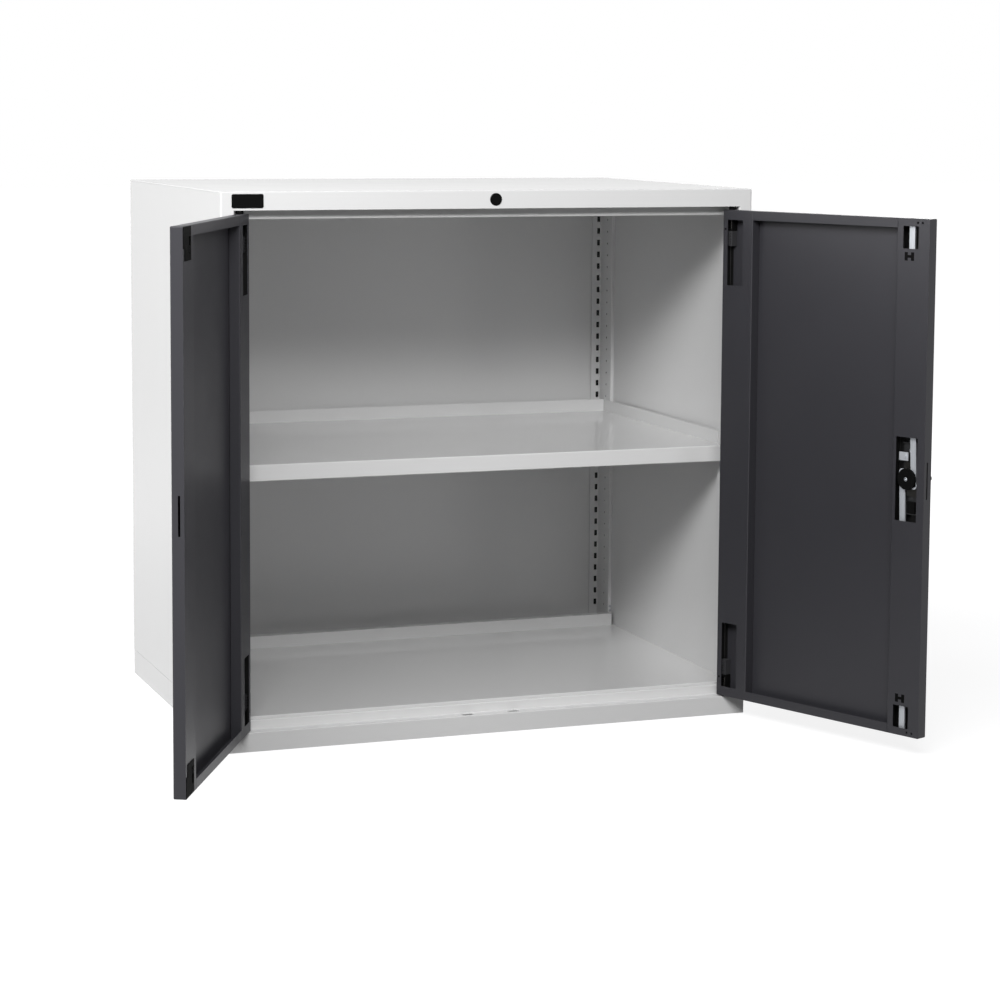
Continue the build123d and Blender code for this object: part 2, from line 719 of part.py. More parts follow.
def lock_stile(active):
    """Channel along the free edge, with windows over the rods or the flush bolts."""
    line = [
        (free_edge + door_sheet, door_back),
        (free_edge + lock_stile_width, door_back),
        (free_edge + lock_stile_width, front + door_sheet),
        (free_edge + lock_stile_width - stile_foot, front + door_sheet),
    ]
    window_x = free_edge + end_window_from_edge + end_window_width / 2
    window_z = door_height / 2 - end_window_from_end - end_window_height / 2
    notch_y = (stile_face - 1, door_back + 1)
    dot_z = door_height / 2 - end_dot_from_end
    with BuildPart() as stile:
        folded_sheet(stile_plane, line, door_sheet, stile_bend, Side.RIGHT, stile_length)
        clear_stile_ends((free_edge, free_edge + lock_stile_width))
        chamfer(stile.edges().filter_by(Axis.Y).group_by(Axis.X)[0], stile_corner)
        if active:
            with BuildSketch(inner_face):
                with Locations((window_x, window_z), (window_x, -window_z)):
                    RectangleRounded(end_window_width, end_window_height, stile_bend)
                with Locations((rod_line, guide_offset), (rod_line, -guide_offset)):
                    guide_outline()
                lock_window_x = free_edge + lock_window_from_edge + lock_window_width / 2
                with Locations((lock_window_x, 0)):
                    RectangleRounded(lock_window_width, lock_window_height, stile_bend)
                with Locations((free_edge + end_dot_near, dot_z), (free_edge + end_dot_far, dot_z)):
                    Circle(end_dot / 2)
                with Locations((free_edge + end_dot_near, -dot_z), (free_edge + end_dot_far, -dot_z)):
                    Circle(end_dot / 2)
            extrude(amount=2 * door_sheet, mode=Mode.SUBTRACT)
        else:
            for end_z, inwards in ((door_top, -1), (door_bottom, 1)):
                for inset, depth in flush_notch:
                    notch_z = sorted((end_z, end_z + inwards * depth))
                    block((free_edge + inset, free_edge + flush_notch_width), notch_y, notch_z, Mode.SUBTRACT)
    return stile.part


save(swung(lock_stile(False), "left"), "left_lock_stile")
save(swung(lock_stile(True), "right"), "right_lock_stile")

# ---- pivot pin units ----------------------------------------------------------------------------
# The pin's collar and spring sit in a pocket of the housing, and a ribbed slider is pressed on its tail.
pin_bore = (pin_diameter + pin_clearance) / 2
housing_top = door_top - fold_bend
housing_bottom = housing_top - housing_height
spring_bottom = housing_bottom + housing_floor
spring_top = spring_bottom + spring_length
collar_top = spring_top + collar_height
housing_x = (pivot_x - housing_far_side, pivot_x + housing_near_side)
housing_y = (front + door_sheet + housing_gap, front + door_sheet + housing_depth)
with BuildPart() as pin_housing:
    block(housing_x, housing_y, (housing_bottom, housing_top))
    chamfer(upright_edges(pin_housing, housing_x[1], housing_y[0]), hinge_bend - door_sheet)
    pocket_x = (pivot_x - pocket_width / 2, pivot_x + pocket_width / 2)
    pocket_y = (housing_y[0] + pocket_wall, housing_y[1] + 1)
    block(pocket_x, pocket_y, (spring_bottom, collar_top), Mode.SUBTRACT)
    with Locations((pivot_x, pivot_y, housing_bottom)):
        Cylinder(pin_bore, 4 * housing_height, mode=Mode.SUBTRACT)

slider_top = housing_bottom - slider_gap
slider_bottom = slider_top - slider_length
with BuildPart() as pivot_pin:
    with Locations((pivot_x, pivot_y, door_top + pin_reach)):
        pin_length = door_top + pin_reach - slider_bottom - slider_floor
        Cylinder(pin_diameter / 2, pin_length, align=(Align.CENTER, Align.CENTER, Align.MAX))
    chamfer(pivot_pin.faces().sort_by(Axis.Z)[-1].edges(), 0.8)
    with Locations((pivot_x, pivot_y, collar_top)):
        Cylinder(collar_diameter / 2, collar_height, align=(Align.CENTER, Align.CENTER, Align.MAX))

with BuildPart() as pin_slider:
    slider_x = (housing_x[0] + slider_inset, housing_x[1] - slider_inset)
    slider_y = (housing_y[0] + slider_inset, housing_y[1] - slider_inset)
    block(slider_x, slider_y, (slider_bottom, slider_top))
    chamfer(upright_edges(pin_slider, slider_x[1], slider_y[0]), hinge_bend - door_sheet)
    with Locations((pivot_x, pivot_y, slider_top)):
        sink = (Align.CENTER, Align.CENTER, Align.MAX)
        Cylinder(pin_diameter / 2, slider_length - slider_floor, align=sink, mode=Mode.SUBTRACT)
    rib_middle = (slider_top + slider_bottom) / 2
    for index in range(rib_count):
        rib_z = rib_middle + (index - (rib_count - 1) / 2) * rib_pitch
        rib_x = (slider_x[1] - rib_length, slider_x[1])
        rib_y = (slider_y[1], slider_y[1] + rib_proud)
        block(rib_x, rib_y, (rib_z - rib_thickness / 2, rib_z + rib_thickness / 2))

with BuildPart() as pin_spring:
    coil_height = spring_length - spring_wire - 2 * spring_end_gap
    with BuildLine():
        Helix(coil_height / spring_turns, coil_height, spring_radius, center=(0, 0, 0))
    with BuildSketch(facing_back(spring_radius, 0, 0)):
        Circle(spring_wire / 2)
    sweep(is_frenet=True)
spring_place = Location((pivot_x, pivot_y, spring_bottom + spring_wire / 2 + spring_end_gap))
top_spring = pin_spring.part.moved(spring_place)

for side in ("left", "right"):
    save(swung(both_ends(pin_housing.part), side), f"{side}_pin_housings")
    save(swung(pivot_pin.part, side), f"{side}_top_pin")
    save(swung(upside_down(pivot_pin.part), side), f"{side}_bottom_pin")
    save(swung(pin_slider.part, side), f"{side}_top_pin_slider")
    save(swung(upside_down(pin_slider.part), side), f"{side}_bottom_pin_slider")
    save(swung(top_spring, side), f"{side}_top_pin_spring")
    save(swung(upside_down(top_spring), side), f"{side}_bottom_pin_spring")

# ---- lock case, on the inside of the active door's skin -----------------------------------------
with BuildPart() as lock_case:
    case_x = (free_edge + door_sheet + 1, free_edge + door_sheet + 1 + case_width)
    case_z = (door_middle - case_height / 2, door_middle + case_height / 2)
    block(case_x, (case_low, case_low + case_wall), case_z)
    for lip_z in ((case_z[0], case_z[0] + case_wall), (case_z[1] - case_wall, case_z[1])):
        block(case_x, (case_low, case_low + case_lip), lip_z)
    block((case_x[0], case_x[0] + case_wall), (front + door_sheet, case_low), case_z)
    block((case_x[1] - case_wall, case_x[1]), (front + door_sheet, case_low), case_z)
    with Locations(facing_back(spindle_x, case_low, door_middle)):
        Cylinder(spindle_diameter / 2 + spindle_clearance, 4 * case_wall, mode=Mode.SUBTRACT)
        with GridLocations(post_spacing, post_spacing, 1, 2):
            Cylinder(post_screw / 2 + 0.2, 4 * case_wall, mode=Mode.SUBTRACT)
save(swung(lock_case.part, "right"), "lock_case")

# ---- deadbolt -----------------------------------------------------------------------------------
with BuildPart() as deadbolt:
    bolt_x = (free_edge + bolt_setback, free_edge + bolt_setback + bolt_reach)
    bolt_z = (door_middle - bolt_height / 2, door_middle + bolt_height / 2)
    tip_end = bolt_x[0] + bolt_tip
    block((bolt_x[0], tip_end), (rod_low, rod_low + bolt_thickness), bolt_z)
    block((tip_end - bolt_thickness, tip_end), (bolt_low, rod_low + bolt_thickness), bolt_z)
    block((tip_end - bolt_thickness, bolt_x[1]), (bolt_low, bolt_low + bolt_thickness), bolt_z)
    for lead_y in (rod_low, rod_low + bolt_thickness):
        chamfer(upright_edges(deadbolt, bolt_x[0], lead_y), bolt_thickness / 4)
    slot_start = spindle_x - spindle_diameter / 2 - bolt_slack
    slot_end = spindle_x + spindle_diameter / 2 + bolt_throw + bolt_slack
    spindle_gap = spindle_diameter / 2 + bolt_slack
    block((slot_start, slot_end), (bolt_low - 1, bolt_low + bolt_thickness + 1),
          (door_middle - spindle_gap, door_middle + spindle_gap), Mode.SUBTRACT)
save(swung(deadbolt.part, "right"), "deadbolt")

# ---- cam disc with its two crank pins -----------------------------------------------------------
crank_offset = crank_radius * 2 ** -0.5
crank_length = cam_low - rod_low + 0.5
with BuildPart() as cam_disc:
    with BuildSketch(facing_back(spindle_x, cam_low, door_middle)):
        Circle(cam_diameter / 2)
    extrude(amount=cam_thickness)
    fillet(cam_disc.faces().sort_by(Axis.Y)[-1].edges(), 0.8)
    for direction in (-1, 1):
        crank_place = (spindle_x + direction * crank_offset, cam_low, door_middle + direction * crank_offset)
        with Locations(facing_front(*crank_place)):
            Cylinder(crank_pin / 2, crank_length, align=(Align.CENTER, Align.CENTER, Align.MIN))
save(swung(cam_disc.part, "right"), "cam_disc")

with BuildPart() as cam_screw:
    cam_top = cam_low + cam_thickness
    with Locations(facing_back(spindle_x, cam_top, door_middle)):
        Cylinder(cam_screw_diameter / 2, cam_screw_head, align=(Align.CENTER, Align.CENTER, Align.MIN))
    fillet(cam_screw.faces().sort_by(Axis.Y)[-1].edges(), 0.6)
    with BuildSketch(facing_front(spindle_x, cam_top + cam_screw_head, door_middle)):
        RegularPolygon(screw_socket / 2, 6)
    extrude(amount=cam_screw_head * 0.7, mode=Mode.SUBTRACT)
save(swung(cam_screw.part, "right"), "cam_screw")


# ---- locking rods -------------------------------------------------------------------------------
def locking_rod(direction):
    """Flat rod from the cam to a door end: direction 1 goes up, -1 goes down."""
    crank_x = spindle_x - direction * crank_radius * (1 + 2 ** -0.5) / 2
    crank_z = door_middle - direction * crank_offset
    tip_z = door_top - rod_end_gap if direction > 0 else door_bottom + rod_end_gap
    guide_z = door_middle + direction * guide_offset
    tilt_line = [(crank_x, crank_z), (rod_line, guide_z), (rod_line, tip_z)]
    with BuildPart() as rod:
        with BuildSketch(facing_front(0, rod_low, 0)) as outline:
            with BuildLine():
                Polyline(*tilt_line)
            trace(line_width=rod_width)
            with Locations((crank_x, crank_z)):
                Circle(rod_width / 2 + 1)
            with Locations((crank_x, crank_z)):
                slot_long = crank_pin + crank_radius * (1 - 2 ** -0.5) + crank_pin_clearance
                SlotOverall(slot_long, crank_pin + crank_pin_clearance, mode=Mode.SUBTRACT)
        extrude(amount=-rod_thickness)
    return rod.part


save(swung(locking_rod(1), "right"), "upper_rod")
save(swung(locking_rod(-1), "right"), "lower_rod")

# ---- rod guides ---------------------------------------------------------------------------------
with BuildPart() as rod_guide:
    guide_z = door_middle + guide_offset
    guide_y = (rod_low - 2.5, stile_face)
    guide_x = (rod_line - guide_block_width / 2, rod_line + guide_block_width / 2)
    block(guide_x, guide_y, (guide_z - guide_block_height / 2, guide_z + guide_block_height / 2))
    channel = rod_width / 2 + rod_slack
    block((rod_line - channel, rod_line + channel), (rod_low - 0.4, rod_low + rod_thickness + 0.4),
          (guide_z - guide_block_height, guide_z + guide_block_height), Mode.SUBTRACT)
    with BuildSketch(facing_front(0, stile_face, 0)) as guide_head:
        with Locations((rod_line, guide_z)):
            guide_outline()
    extrude(guide_head.sketch, amount=-door_sheet)
save(swung(both_ends(rod_guide.part), "right"), "rod_guides")

# ---- bracket and screw over the cam -------------------------------------------------------------
with BuildPart() as case_bracket:
    bracket_z = door_middle + bracket_offset
    case_face = case_low + case_wall
    bracket_y = (cam_low - bracket_thickness, cam_low)
    bracket_middle = spindle_x + bracket_shift
    bracket_x = (bracket_middle - bracket_width / 2, bracket_middle + bracket_width / 2)
    block(bracket_x, bracket_y, (bracket_z - bracket_height / 2, bracket_z + bracket_height / 2))
    with Locations(facing_back(bracket_x[1] - bracket_post, case_face, bracket_z)):
        Cylinder(bracket_post / 2, bracket_y[0] - case_face, align=(Align.CENTER, Align.CENTER, Align.MIN))
    with Locations(facing_back(bracket_x[0] + bracket_post, cam_low, bracket_z)):
        Cylinder(bracket_post / 2, 2, align=(Align.CENTER, Align.CENTER, Align.MIN))
save(swung(case_bracket.part, "right"), "case_bracket")

# ---- escutcheon on the outside ------------------------------------------------------------------
with BuildPart() as escutcheon:
    with BuildSketch(facing_front(spindle_x, front, door_middle)):
        SlotOverall(escutcheon_height, escutcheon_width, rotation=90)
    extrude(amount=escutcheon_thickness, taper=8)
    fillet(escutcheon.faces().sort_by(Axis.Y)[0].edges(), escutcheon_slope)
    dish_floor = front - escutcheon_thickness + dish_depth
    with BuildSketch(facing_front(spindle_x, dish_floor, door_middle)):
        Circle(dish_diameter / 2)
    extrude(amount=2 * dish_depth, mode=Mode.SUBTRACT)
    with Locations(facing_front(spindle_x, front, door_middle)):
        Cylinder(cylinder_diameter / 2 + 1.5, 3 * escutcheon_thickness, mode=Mode.SUBTRACT)
    with BuildSketch(facing_back(spindle_x, front, door_middle)):
        with GridLocations(post_spacing, post_spacing, 1, 2):
            Circle(post_diameter / 2)
    extrude(amount=case_from_face)
    with BuildSketch(facing_front(spindle_x, case_low, door_middle)):
        with GridLocations(post_spacing, post_spacing, 1, 2):
            Circle(post_screw / 2)
    extrude(amount=case_from_face + escutcheon_thickness / 2, mode=Mode.SUBTRACT)
save(swung(escutcheon.part, "right"), "escutcheon")

with BuildPart() as case_screws:
    screw_plane = facing_back(spindle_x, case_low + case_wall, door_middle)
    with BuildSketch(screw_plane):
        with GridLocations(post_spacing, post_spacing, 1, 2):
            Circle(post_screw * 0.9)
    extrude(amount=2)
    with BuildSketch(screw_plane):
        with GridLocations(post_spacing, post_spacing, 1, 2):
            Circle(post_screw / 2 - 0.1)
    extrude(amount=-(case_wall + case_from_face + escutcheon_thickness / 3))
    with BuildSketch(facing_front(spindle_x, case_low + case_wall + 2, door_middle)):
        with GridLocations(post_spacing, post_spacing, 1, 2):
            RegularPolygon(screw_socket / 2, 6)
    extrude(amount=1.4, mode=Mode.SUBTRACT)
save(swung(case_screws.part, "right"), "case_screws")

with BuildPart() as screw_cap:
    cap_low = case_low + case_wall
    cap_z = door_middle - cap_from_spindle
    cap_x = (spindle_x - cap_width / 2, spindle_x + cap_width / 2)
    block(cap_x, (cap_low, cap_low + cap_height), (cap_z - cap_length / 2, cap_z + cap_length / 2))
    chamfer(screw_cap.faces().sort_by(Axis.Y)[-1].edges(), cap_chamfer)
    with Locations(facing_back(spindle_x, cap_low, door_middle - post_spacing / 2)):
        Cylinder(post_screw * 0.9 + 0.2, 4.6, mode=Mode.SUBTRACT)
save(swung(screw_cap.part, "right"), "screw_cap")

# ---- turning knob, spindle and key cylinder -----------------------------------------------------
knob_back = dish_floor - knob_clearance
knob_face = knob_back - knob_thickness
grip_face = knob_face - grip_height
with BuildPart() as knob:
    with BuildSketch(facing_front(spindle_x, knob_back, door_middle)):
        Circle(knob_diameter / 2)
    extrude(amount=knob_thickness)
    fillet(knob.faces().sort_by(Axis.Y)[0].edges(), 1.0)
    with BuildSketch(facing_front(spindle_x, knob_face, door_middle)):
        SlotOverall(grip_length, grip_width)
    extrude(amount=grip_height, taper=6)
    fillet(knob.faces().sort_by(Axis.Y)[0].edges(), grip_end * 0.6)
    with BuildSketch(facing_back(spindle_x, grip_face, door_middle)):
        Circle((cylinder_diameter + cylinder_clearance) / 2)
    extrude(amount=cylinder_depth, mode=Mode.SUBTRACT)
save(swung(knob.part, "right"), "knob")

with BuildPart() as spindle:
    with BuildSketch(facing_back(spindle_x, knob_back, door_middle)):
        Circle(spindle_diameter / 2)
    extrude(amount=cam_low - knob_back)
save(swung(spindle.part, "right"), "spindle")

with BuildPart() as key_cylinder:
    with BuildSketch(facing_front(spindle_x, grip_face + cylinder_depth - 0.2, door_middle)):
        Circle(cylinder_diameter / 2)
    extrude(amount=cylinder_depth + cylinder_proud - 0.2)
    fillet(key_cylinder.faces().sort_by(Axis.Y)[0].edges(), 0.4)
    with BuildSketch(facing_back(spindle_x, grip_face - cylinder_proud, door_middle)):
        SlotOverall(key_slot_length, key_slot_width)
    extrude(amount=key_slot_depth, mode=Mode.SUBTRACT)
save(swung(key_cylinder.part, "right"), "key_cylinder")

# ---- flush bolts of the left-hand door ----------------------------------------------------------
flush_axis = (rod_line, rod_middle)
flush_top = door_top - flush_end_gap
with BuildPart() as flush_housing:
    corner_x = free_edge + door_sheet + flush_notch_gap
    flush_x = (corner_x, rod_line + flush_housing_width / 2)
    flush_y = (stile_face - flush_housing_depth, stile_face)
    block(flush_x, flush_y, (flush_top - flush_housing_height, flush_top))
    head_y = (stile_face, door_back + flush_proud)
    head_top = door_top - door_sheet - flush_notch_gap
    for inset, depth in flush_notch:
        head_start = max(free_edge + inset + flush_notch_gap, corner_x)
        head_x = (head_start, free_edge + flush_notch_width - flush_notch_gap)
        block(head_x, head_y, (door_top - depth + flush_notch_gap, head_top))
    with Locations((*flush_axis, flush_top)):
        Cylinder(flush_bolt_diameter / 2 + flush_clearance, 3 * flush_housing_height, mode=Mode.SUBTRACT)
    thumb_half = flush_thumb_width / 2 + flush_thumb_clearance
    thumb_x = (rod_line - thumb_half, rod_line + thumb_half)
    thumb_low = flush_top - flush_thumb_from_end - flush_thumb_clearance
    thumb_z = (thumb_low, thumb_low + flush_thumb_height + flush_travel + 3 * flush_thumb_clearance)
    block(thumb_x, (rod_middle, head_y[1] + 1), thumb_z, Mode.SUBTRACT)

with BuildPart() as flush_bolt:
    with Locations((*flush_axis, flush_top + 1)):
        Cylinder(flush_bolt_diameter / 2, flush_bolt_length, align=(Align.CENTER, Align.CENTER, Align.MAX))
    chamfer(flush_bolt.faces().sort_by(Axis.Z)[-1].edges(), 1.0)
    grip_low = flush_top - flush_thumb_from_end
    grip_x = (rod_line - flush_thumb_width / 2, rod_line + flush_thumb_width / 2)
    grip_y = (rod_middle, door_back + flush_proud)
    block(grip_x, grip_y, (grip_low, grip_low + flush_thumb_height))
    for rib in range(3):
        rib_z = grip_low + flush_thumb_height * (rib + 0.5) / 3
        rib_y = (grip_y[1], grip_y[1] + flush_thumb_proud)
        block(grip_x, rib_y, (rib_z - flush_grip_rib / 2, rib_z + flush_grip_rib / 2))
save(swung(both_ends(flush_housing.part), "left"), "flush_bolt_housings")
save(swung(flush_bolt.part, "left"), "top_flush_bolt")
save(swung(upside_down(flush_bolt.part), "left"), "bottom_flush_bolt")
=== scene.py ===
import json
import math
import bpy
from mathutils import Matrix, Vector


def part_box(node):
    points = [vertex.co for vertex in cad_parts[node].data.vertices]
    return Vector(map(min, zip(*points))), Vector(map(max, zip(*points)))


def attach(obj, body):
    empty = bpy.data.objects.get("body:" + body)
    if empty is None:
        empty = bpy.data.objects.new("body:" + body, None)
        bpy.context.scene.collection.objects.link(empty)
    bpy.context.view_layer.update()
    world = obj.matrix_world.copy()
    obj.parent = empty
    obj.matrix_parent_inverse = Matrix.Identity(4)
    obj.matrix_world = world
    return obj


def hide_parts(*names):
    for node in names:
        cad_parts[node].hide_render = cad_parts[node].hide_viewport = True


bl_info = {
    "name": "Tool Cabinet with Doors",
    "version": (1, 0, 0),
    "blender": (4, 5, 0),
    "location": "View3D > Sidebar > Cabinet",
    "description": "Finishes a two-door sheet-steel tool cabinet and sets its stage",
    "category": "Object",
}

import bmesh
import bpy
from bpy.props import FloatProperty, FloatVectorProperty, PointerProperty
from bpy.types import Operator, Panel, PropertyGroup
from mathutils import Matrix, Vector

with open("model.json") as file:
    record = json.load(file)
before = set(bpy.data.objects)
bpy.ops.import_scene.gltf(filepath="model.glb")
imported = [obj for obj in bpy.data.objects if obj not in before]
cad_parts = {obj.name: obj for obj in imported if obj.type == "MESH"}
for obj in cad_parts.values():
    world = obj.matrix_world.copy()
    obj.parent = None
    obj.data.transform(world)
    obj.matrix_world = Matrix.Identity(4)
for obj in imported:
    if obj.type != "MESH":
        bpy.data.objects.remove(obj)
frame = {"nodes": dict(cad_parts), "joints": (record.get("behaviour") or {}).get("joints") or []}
NODES = frame["nodes"]
JOINTS = {joint["name"]: joint for joint in frame["joints"]}
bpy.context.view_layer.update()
FASCIA_LOW, FASCIA_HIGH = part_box("top_panel")
BADGE_LOW, BADGE_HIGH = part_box("badge_plate")
PLUG_LOW, PLUG_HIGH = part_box("fascia_plug")
FRONT = FASCIA_LOW.y

GREY_SHEETS = (
    "base_tray", "sill_rail", "floor_tray", "side_panel_left", "side_panel_right", "back_panel",
    "top_panel", "top_rail", "rear_upright_left", "rear_upright_right", "front_upright_left",
    "front_upright_right", "shelf",
)
DOOR_SHEETS = (
    "left_door_skin", "left_hinge_stile", "left_lock_stile",
    "right_door_skin", "right_hinge_stile", "right_lock_stile",
)
PIN_SLIDERS = (
    "left_top_pin_slider", "left_bottom_pin_slider", "right_top_pin_slider", "right_bottom_pin_slider",
)
MOULDINGS = (
    "left_pin_housings", "right_pin_housings", "flush_bolt_housings", "top_flush_bolt",
    "bottom_flush_bolt", "rod_guides", "hinge_bushes", "escutcheon", "knob", "cam_disc", "screw_cap",
    "fascia_plug", "badge_plate",
)
PLATED_STRIPS = ("upper_rod", "lower_rod", "case_bracket", "shelf_clips")
PLATED_TURNINGS = ("spindle", "key_cylinder", "upright_rivets", "case_screws", "cam_screw")
# Pins, springs and the deadbolt, drawn with the zinc shader in a dark steel colour.
DARK_STEEL_PIECES = (
    "left_top_pin", "left_bottom_pin", "right_top_pin", "right_bottom_pin",
    "left_top_pin_spring", "left_bottom_pin_spring", "right_top_pin_spring", "right_bottom_pin_spring",
    "deadbolt",
)
SHELVING = ("shelf", "floor_tray")
REAR_UPRIGHTS = ("rear_upright_left", "rear_upright_right")

# Boxes of painted shade: inside them the coat is painted near black for the shade in the gaps behind the
# uprights and inside the doors. Each is the lowest and highest corner of a box in metres. Behind the
# uprights they are in the cabinet's own frame, and inside a door they are in the frame of the shut door.
BACK_PAINTED_SHADE = (
    ((-0.508, 0.3560, 0.040), (-0.486, 0.3620, 0.980)),
    ((0.486, 0.3560, 0.040), (0.508, 0.3620, 0.980)),
)
SIDE_PAINTED_SHADE = (
    ((-0.5110, 0.300, 0.040), (-0.5050, 0.362, 0.980)),
    ((0.5050, 0.300, 0.040), (0.5110, 0.362, 0.980)),
    ((-0.5110, -0.3025, 0.040), (-0.5050, -0.2440, 0.980)),
    ((0.5050, -0.3025, 0.040), (0.5110, -0.2440, 0.980)),
)
UPRIGHT_PAINTED_SHADE = (
    ((-0.5020, 0.35815, 0.040), (-0.4940, 0.35905, 0.980)),
    ((0.4940, 0.35815, 0.040), (0.5020, 0.35905, 0.980)),
    ((-0.50425, 0.3170, 0.040), (-0.50335, 0.3255, 0.980)),
    ((0.50335, 0.3170, 0.040), (0.50425, 0.3255, 0.980)),
)
DOOR_PAINTED_SHADE = (
    ((-0.0712, -0.3620, 0.040), (-0.0024, -0.3608, 0.958)),
    ((0.0024, -0.3620, 0.040), (0.0712, -0.3608, 0.958)),
    ((-0.4838, -0.3618, 0.040), (-0.4760, -0.3425, 0.958)),
    ((0.4760, -0.3618, 0.040), (0.4838, -0.3425, 0.958)),
)
STILE_PAINTED_SHADE = (
    ((-0.0717, -0.3625, 0.040), (-0.0550, -0.3428, 0.958)),
    ((0.0550, -0.3625, 0.040), (0.0717, -0.3428, 0.958)),
)


# Painted shade: the near-black colour used inside the shade boxes.
PAINTED_SHADE_COLOUR = (0.006, 0.006, 0.006, 1)
WORN_PLASTIC = (0.02, 0.02, 0.02, 1)
CASE_EDGE = (0.03, 0.03, 0.03)
DARK_STEEL_COLOUR = (0.06, 0.058, 0.055)
AIM = Vector((0, 0, 0.45))


# ---- what a user can change ---------------------------------------------------------------------
class CabinetFinishes(PropertyGroup):
    carcass_colour: FloatVectorProperty(
        name="Carcass Colour", description="Powder coat of the carcass, the floor and the shelf",
        subtype="COLOR", size=3, min=0.0, max=1.0, default=(0.70, 0.70, 0.70))
    door_colour: FloatVectorProperty(
        name="Door Colour", description="Powder coat of both doors",
        subtype="COLOR", size=3, min=0.0, max=1.0, default=(0.034, 0.0335, 0.039))
    slider_colour: FloatVectorProperty(
        name="Slider Colour", description="Ribbed finger sliders of the pivot pins",
        subtype="COLOR", size=3, min=0.0, max=1.0, default=(0.045, 0.045, 0.048))
    plastic_colour: FloatVectorProperty(
        name="Plastic Colour", description="Housings, guides, knob and plug",
        subtype="COLOR", size=3, min=0.0, max=1.0, default=(0.006, 0.006, 0.006))
    plating_colour: FloatVectorProperty(
        name="Plating Colour", description="Zinc plate of the rods, pins and screws",
        subtype="COLOR", size=3, min=0.0, max=1.0, default=(0.50, 0.52, 0.55))
    case_colour: FloatVectorProperty(
        name="Lock Box Colour", description="Painted pressing round the lock",
        subtype="COLOR", size=3, min=0.0, max=1.0, default=(0.012, 0.012, 0.013))
    grain_size: FloatProperty(
        name="Grain Size", description="Width of one ripple in the powder coat",
        subtype="DISTANCE", unit="LENGTH", min=0.0002, max=0.01, default=0.0014)
    rub_width: FloatProperty(
        name="Rub Width", description="How far the coat is thinned from a folded edge",
        subtype="DISTANCE", unit="LENGTH", min=0.0001, max=0.005, default=0.0007)


class CabinetTrim(PropertyGroup):
    plug_ring: FloatProperty(
        name="Plug Ring", description="Diameter of the raised ring on the fascia plug",
        subtype="DISTANCE", unit="LENGTH", min=0.005, max=0.02, default=0.0150)
    badge_rim: FloatProperty(
        name="Badge Rim", description="Width of the raised rim round the bare badge plate",
        subtype="DISTANCE", unit="LENGTH", min=0.0002, max=0.003, default=0.0010)


class CabinetStage(PropertyGroup):
    camera_place: FloatVectorProperty(
        name="Camera Place", description="Where the camera stands",
        subtype="XYZ", unit="LENGTH", size=3, default=(-1.66203, -4.88968, 1.15826))
    camera_turn: FloatProperty(
        name="Camera Turn", description="Camera turned to the right",
        subtype="ANGLE", unit="ROTATION", default=0.35378)
    camera_tilt: FloatProperty(
        name="Camera Tilt", description="Camera tilted down",
        subtype="ANGLE", unit="ROTATION", default=0.10399)
    camera_roll: FloatProperty(
        name="Camera Roll", description="Camera rolled",
        subtype="ANGLE", unit="ROTATION", default=0.00635)
    lens: FloatProperty(
        name="Lens", description="Focal length in millimetres", min=20.0, max=300.0, default=95.823)
    rise: FloatProperty(
        name="Rise", description="Vertical shift of the lens", min=-0.5, max=0.5, default=-0.12)
    ambient: FloatProperty(
        name="Ambient", description="Strength of the white surround", min=0.0, max=3.0, default=0.06)
    key_power: FloatProperty(
        name="Key Power", description="Wide soft box above and in front",
        unit="POWER", min=0.0, max=1000.0, default=125.0)
    side_power: FloatProperty(
        name="Side Power", description="Soft box to the left",
        unit="POWER", min=0.0, max=1000.0, default=70.0)
    rear_power: FloatProperty(
        name="Rear Power", description="Each of the two soft boxes behind",
        unit="POWER", min=0.0, max=1000.0, default=55.0)
    top_power: FloatProperty(
        name="Top Power", description="Soft box overhead",
        unit="POWER", min=0.0, max=1000.0, default=6.0)


# ---- shader helpers -----------------------------------------------------------------------------
def new_group(name, inputs, outputs):
    """Empty shader node group with its sockets, its input and output nodes placed."""
    group = bpy.data.node_groups.new(name, "ShaderNodeTree")
    for label, kind, value in inputs:
        socket = group.interface.new_socket(name=label, in_out="INPUT", socket_type=kind)
        if value is not None:
            socket.default_value = value
    for label, kind in outputs:
        group.interface.new_socket(name=label, in_out="OUTPUT", socket_type=kind)
    start = group.nodes.new("NodeGroupInput")
    end = group.nodes.new("NodeGroupOutput")
    start.location, end.location = (-900, 0), (700, 0)
    return group, start, end


def add(tree, kind, place=(0, 0), **settings):
    node = tree.nodes.new(kind)
    node.location = place
    for key, value in settings.items():
        setattr(node, key, value)
    return node


def grouped(tree, name, place):
    """Node that holds one of the shared node groups."""
    return add(tree, "ShaderNodeGroup", place, node_tree=bpy.data.node_groups[name])


def spread(tree, source, low, high, place):
    """Map Range from 0..1 to low..high."""
    node = add(tree, "ShaderNodeMapRange", place)
    tree.links.new(source, node.inputs["Value"])
    node.inputs["To Min"].default_value = low
    node.inputs["To Max"].default_value = high
    return node.outputs["Result"]


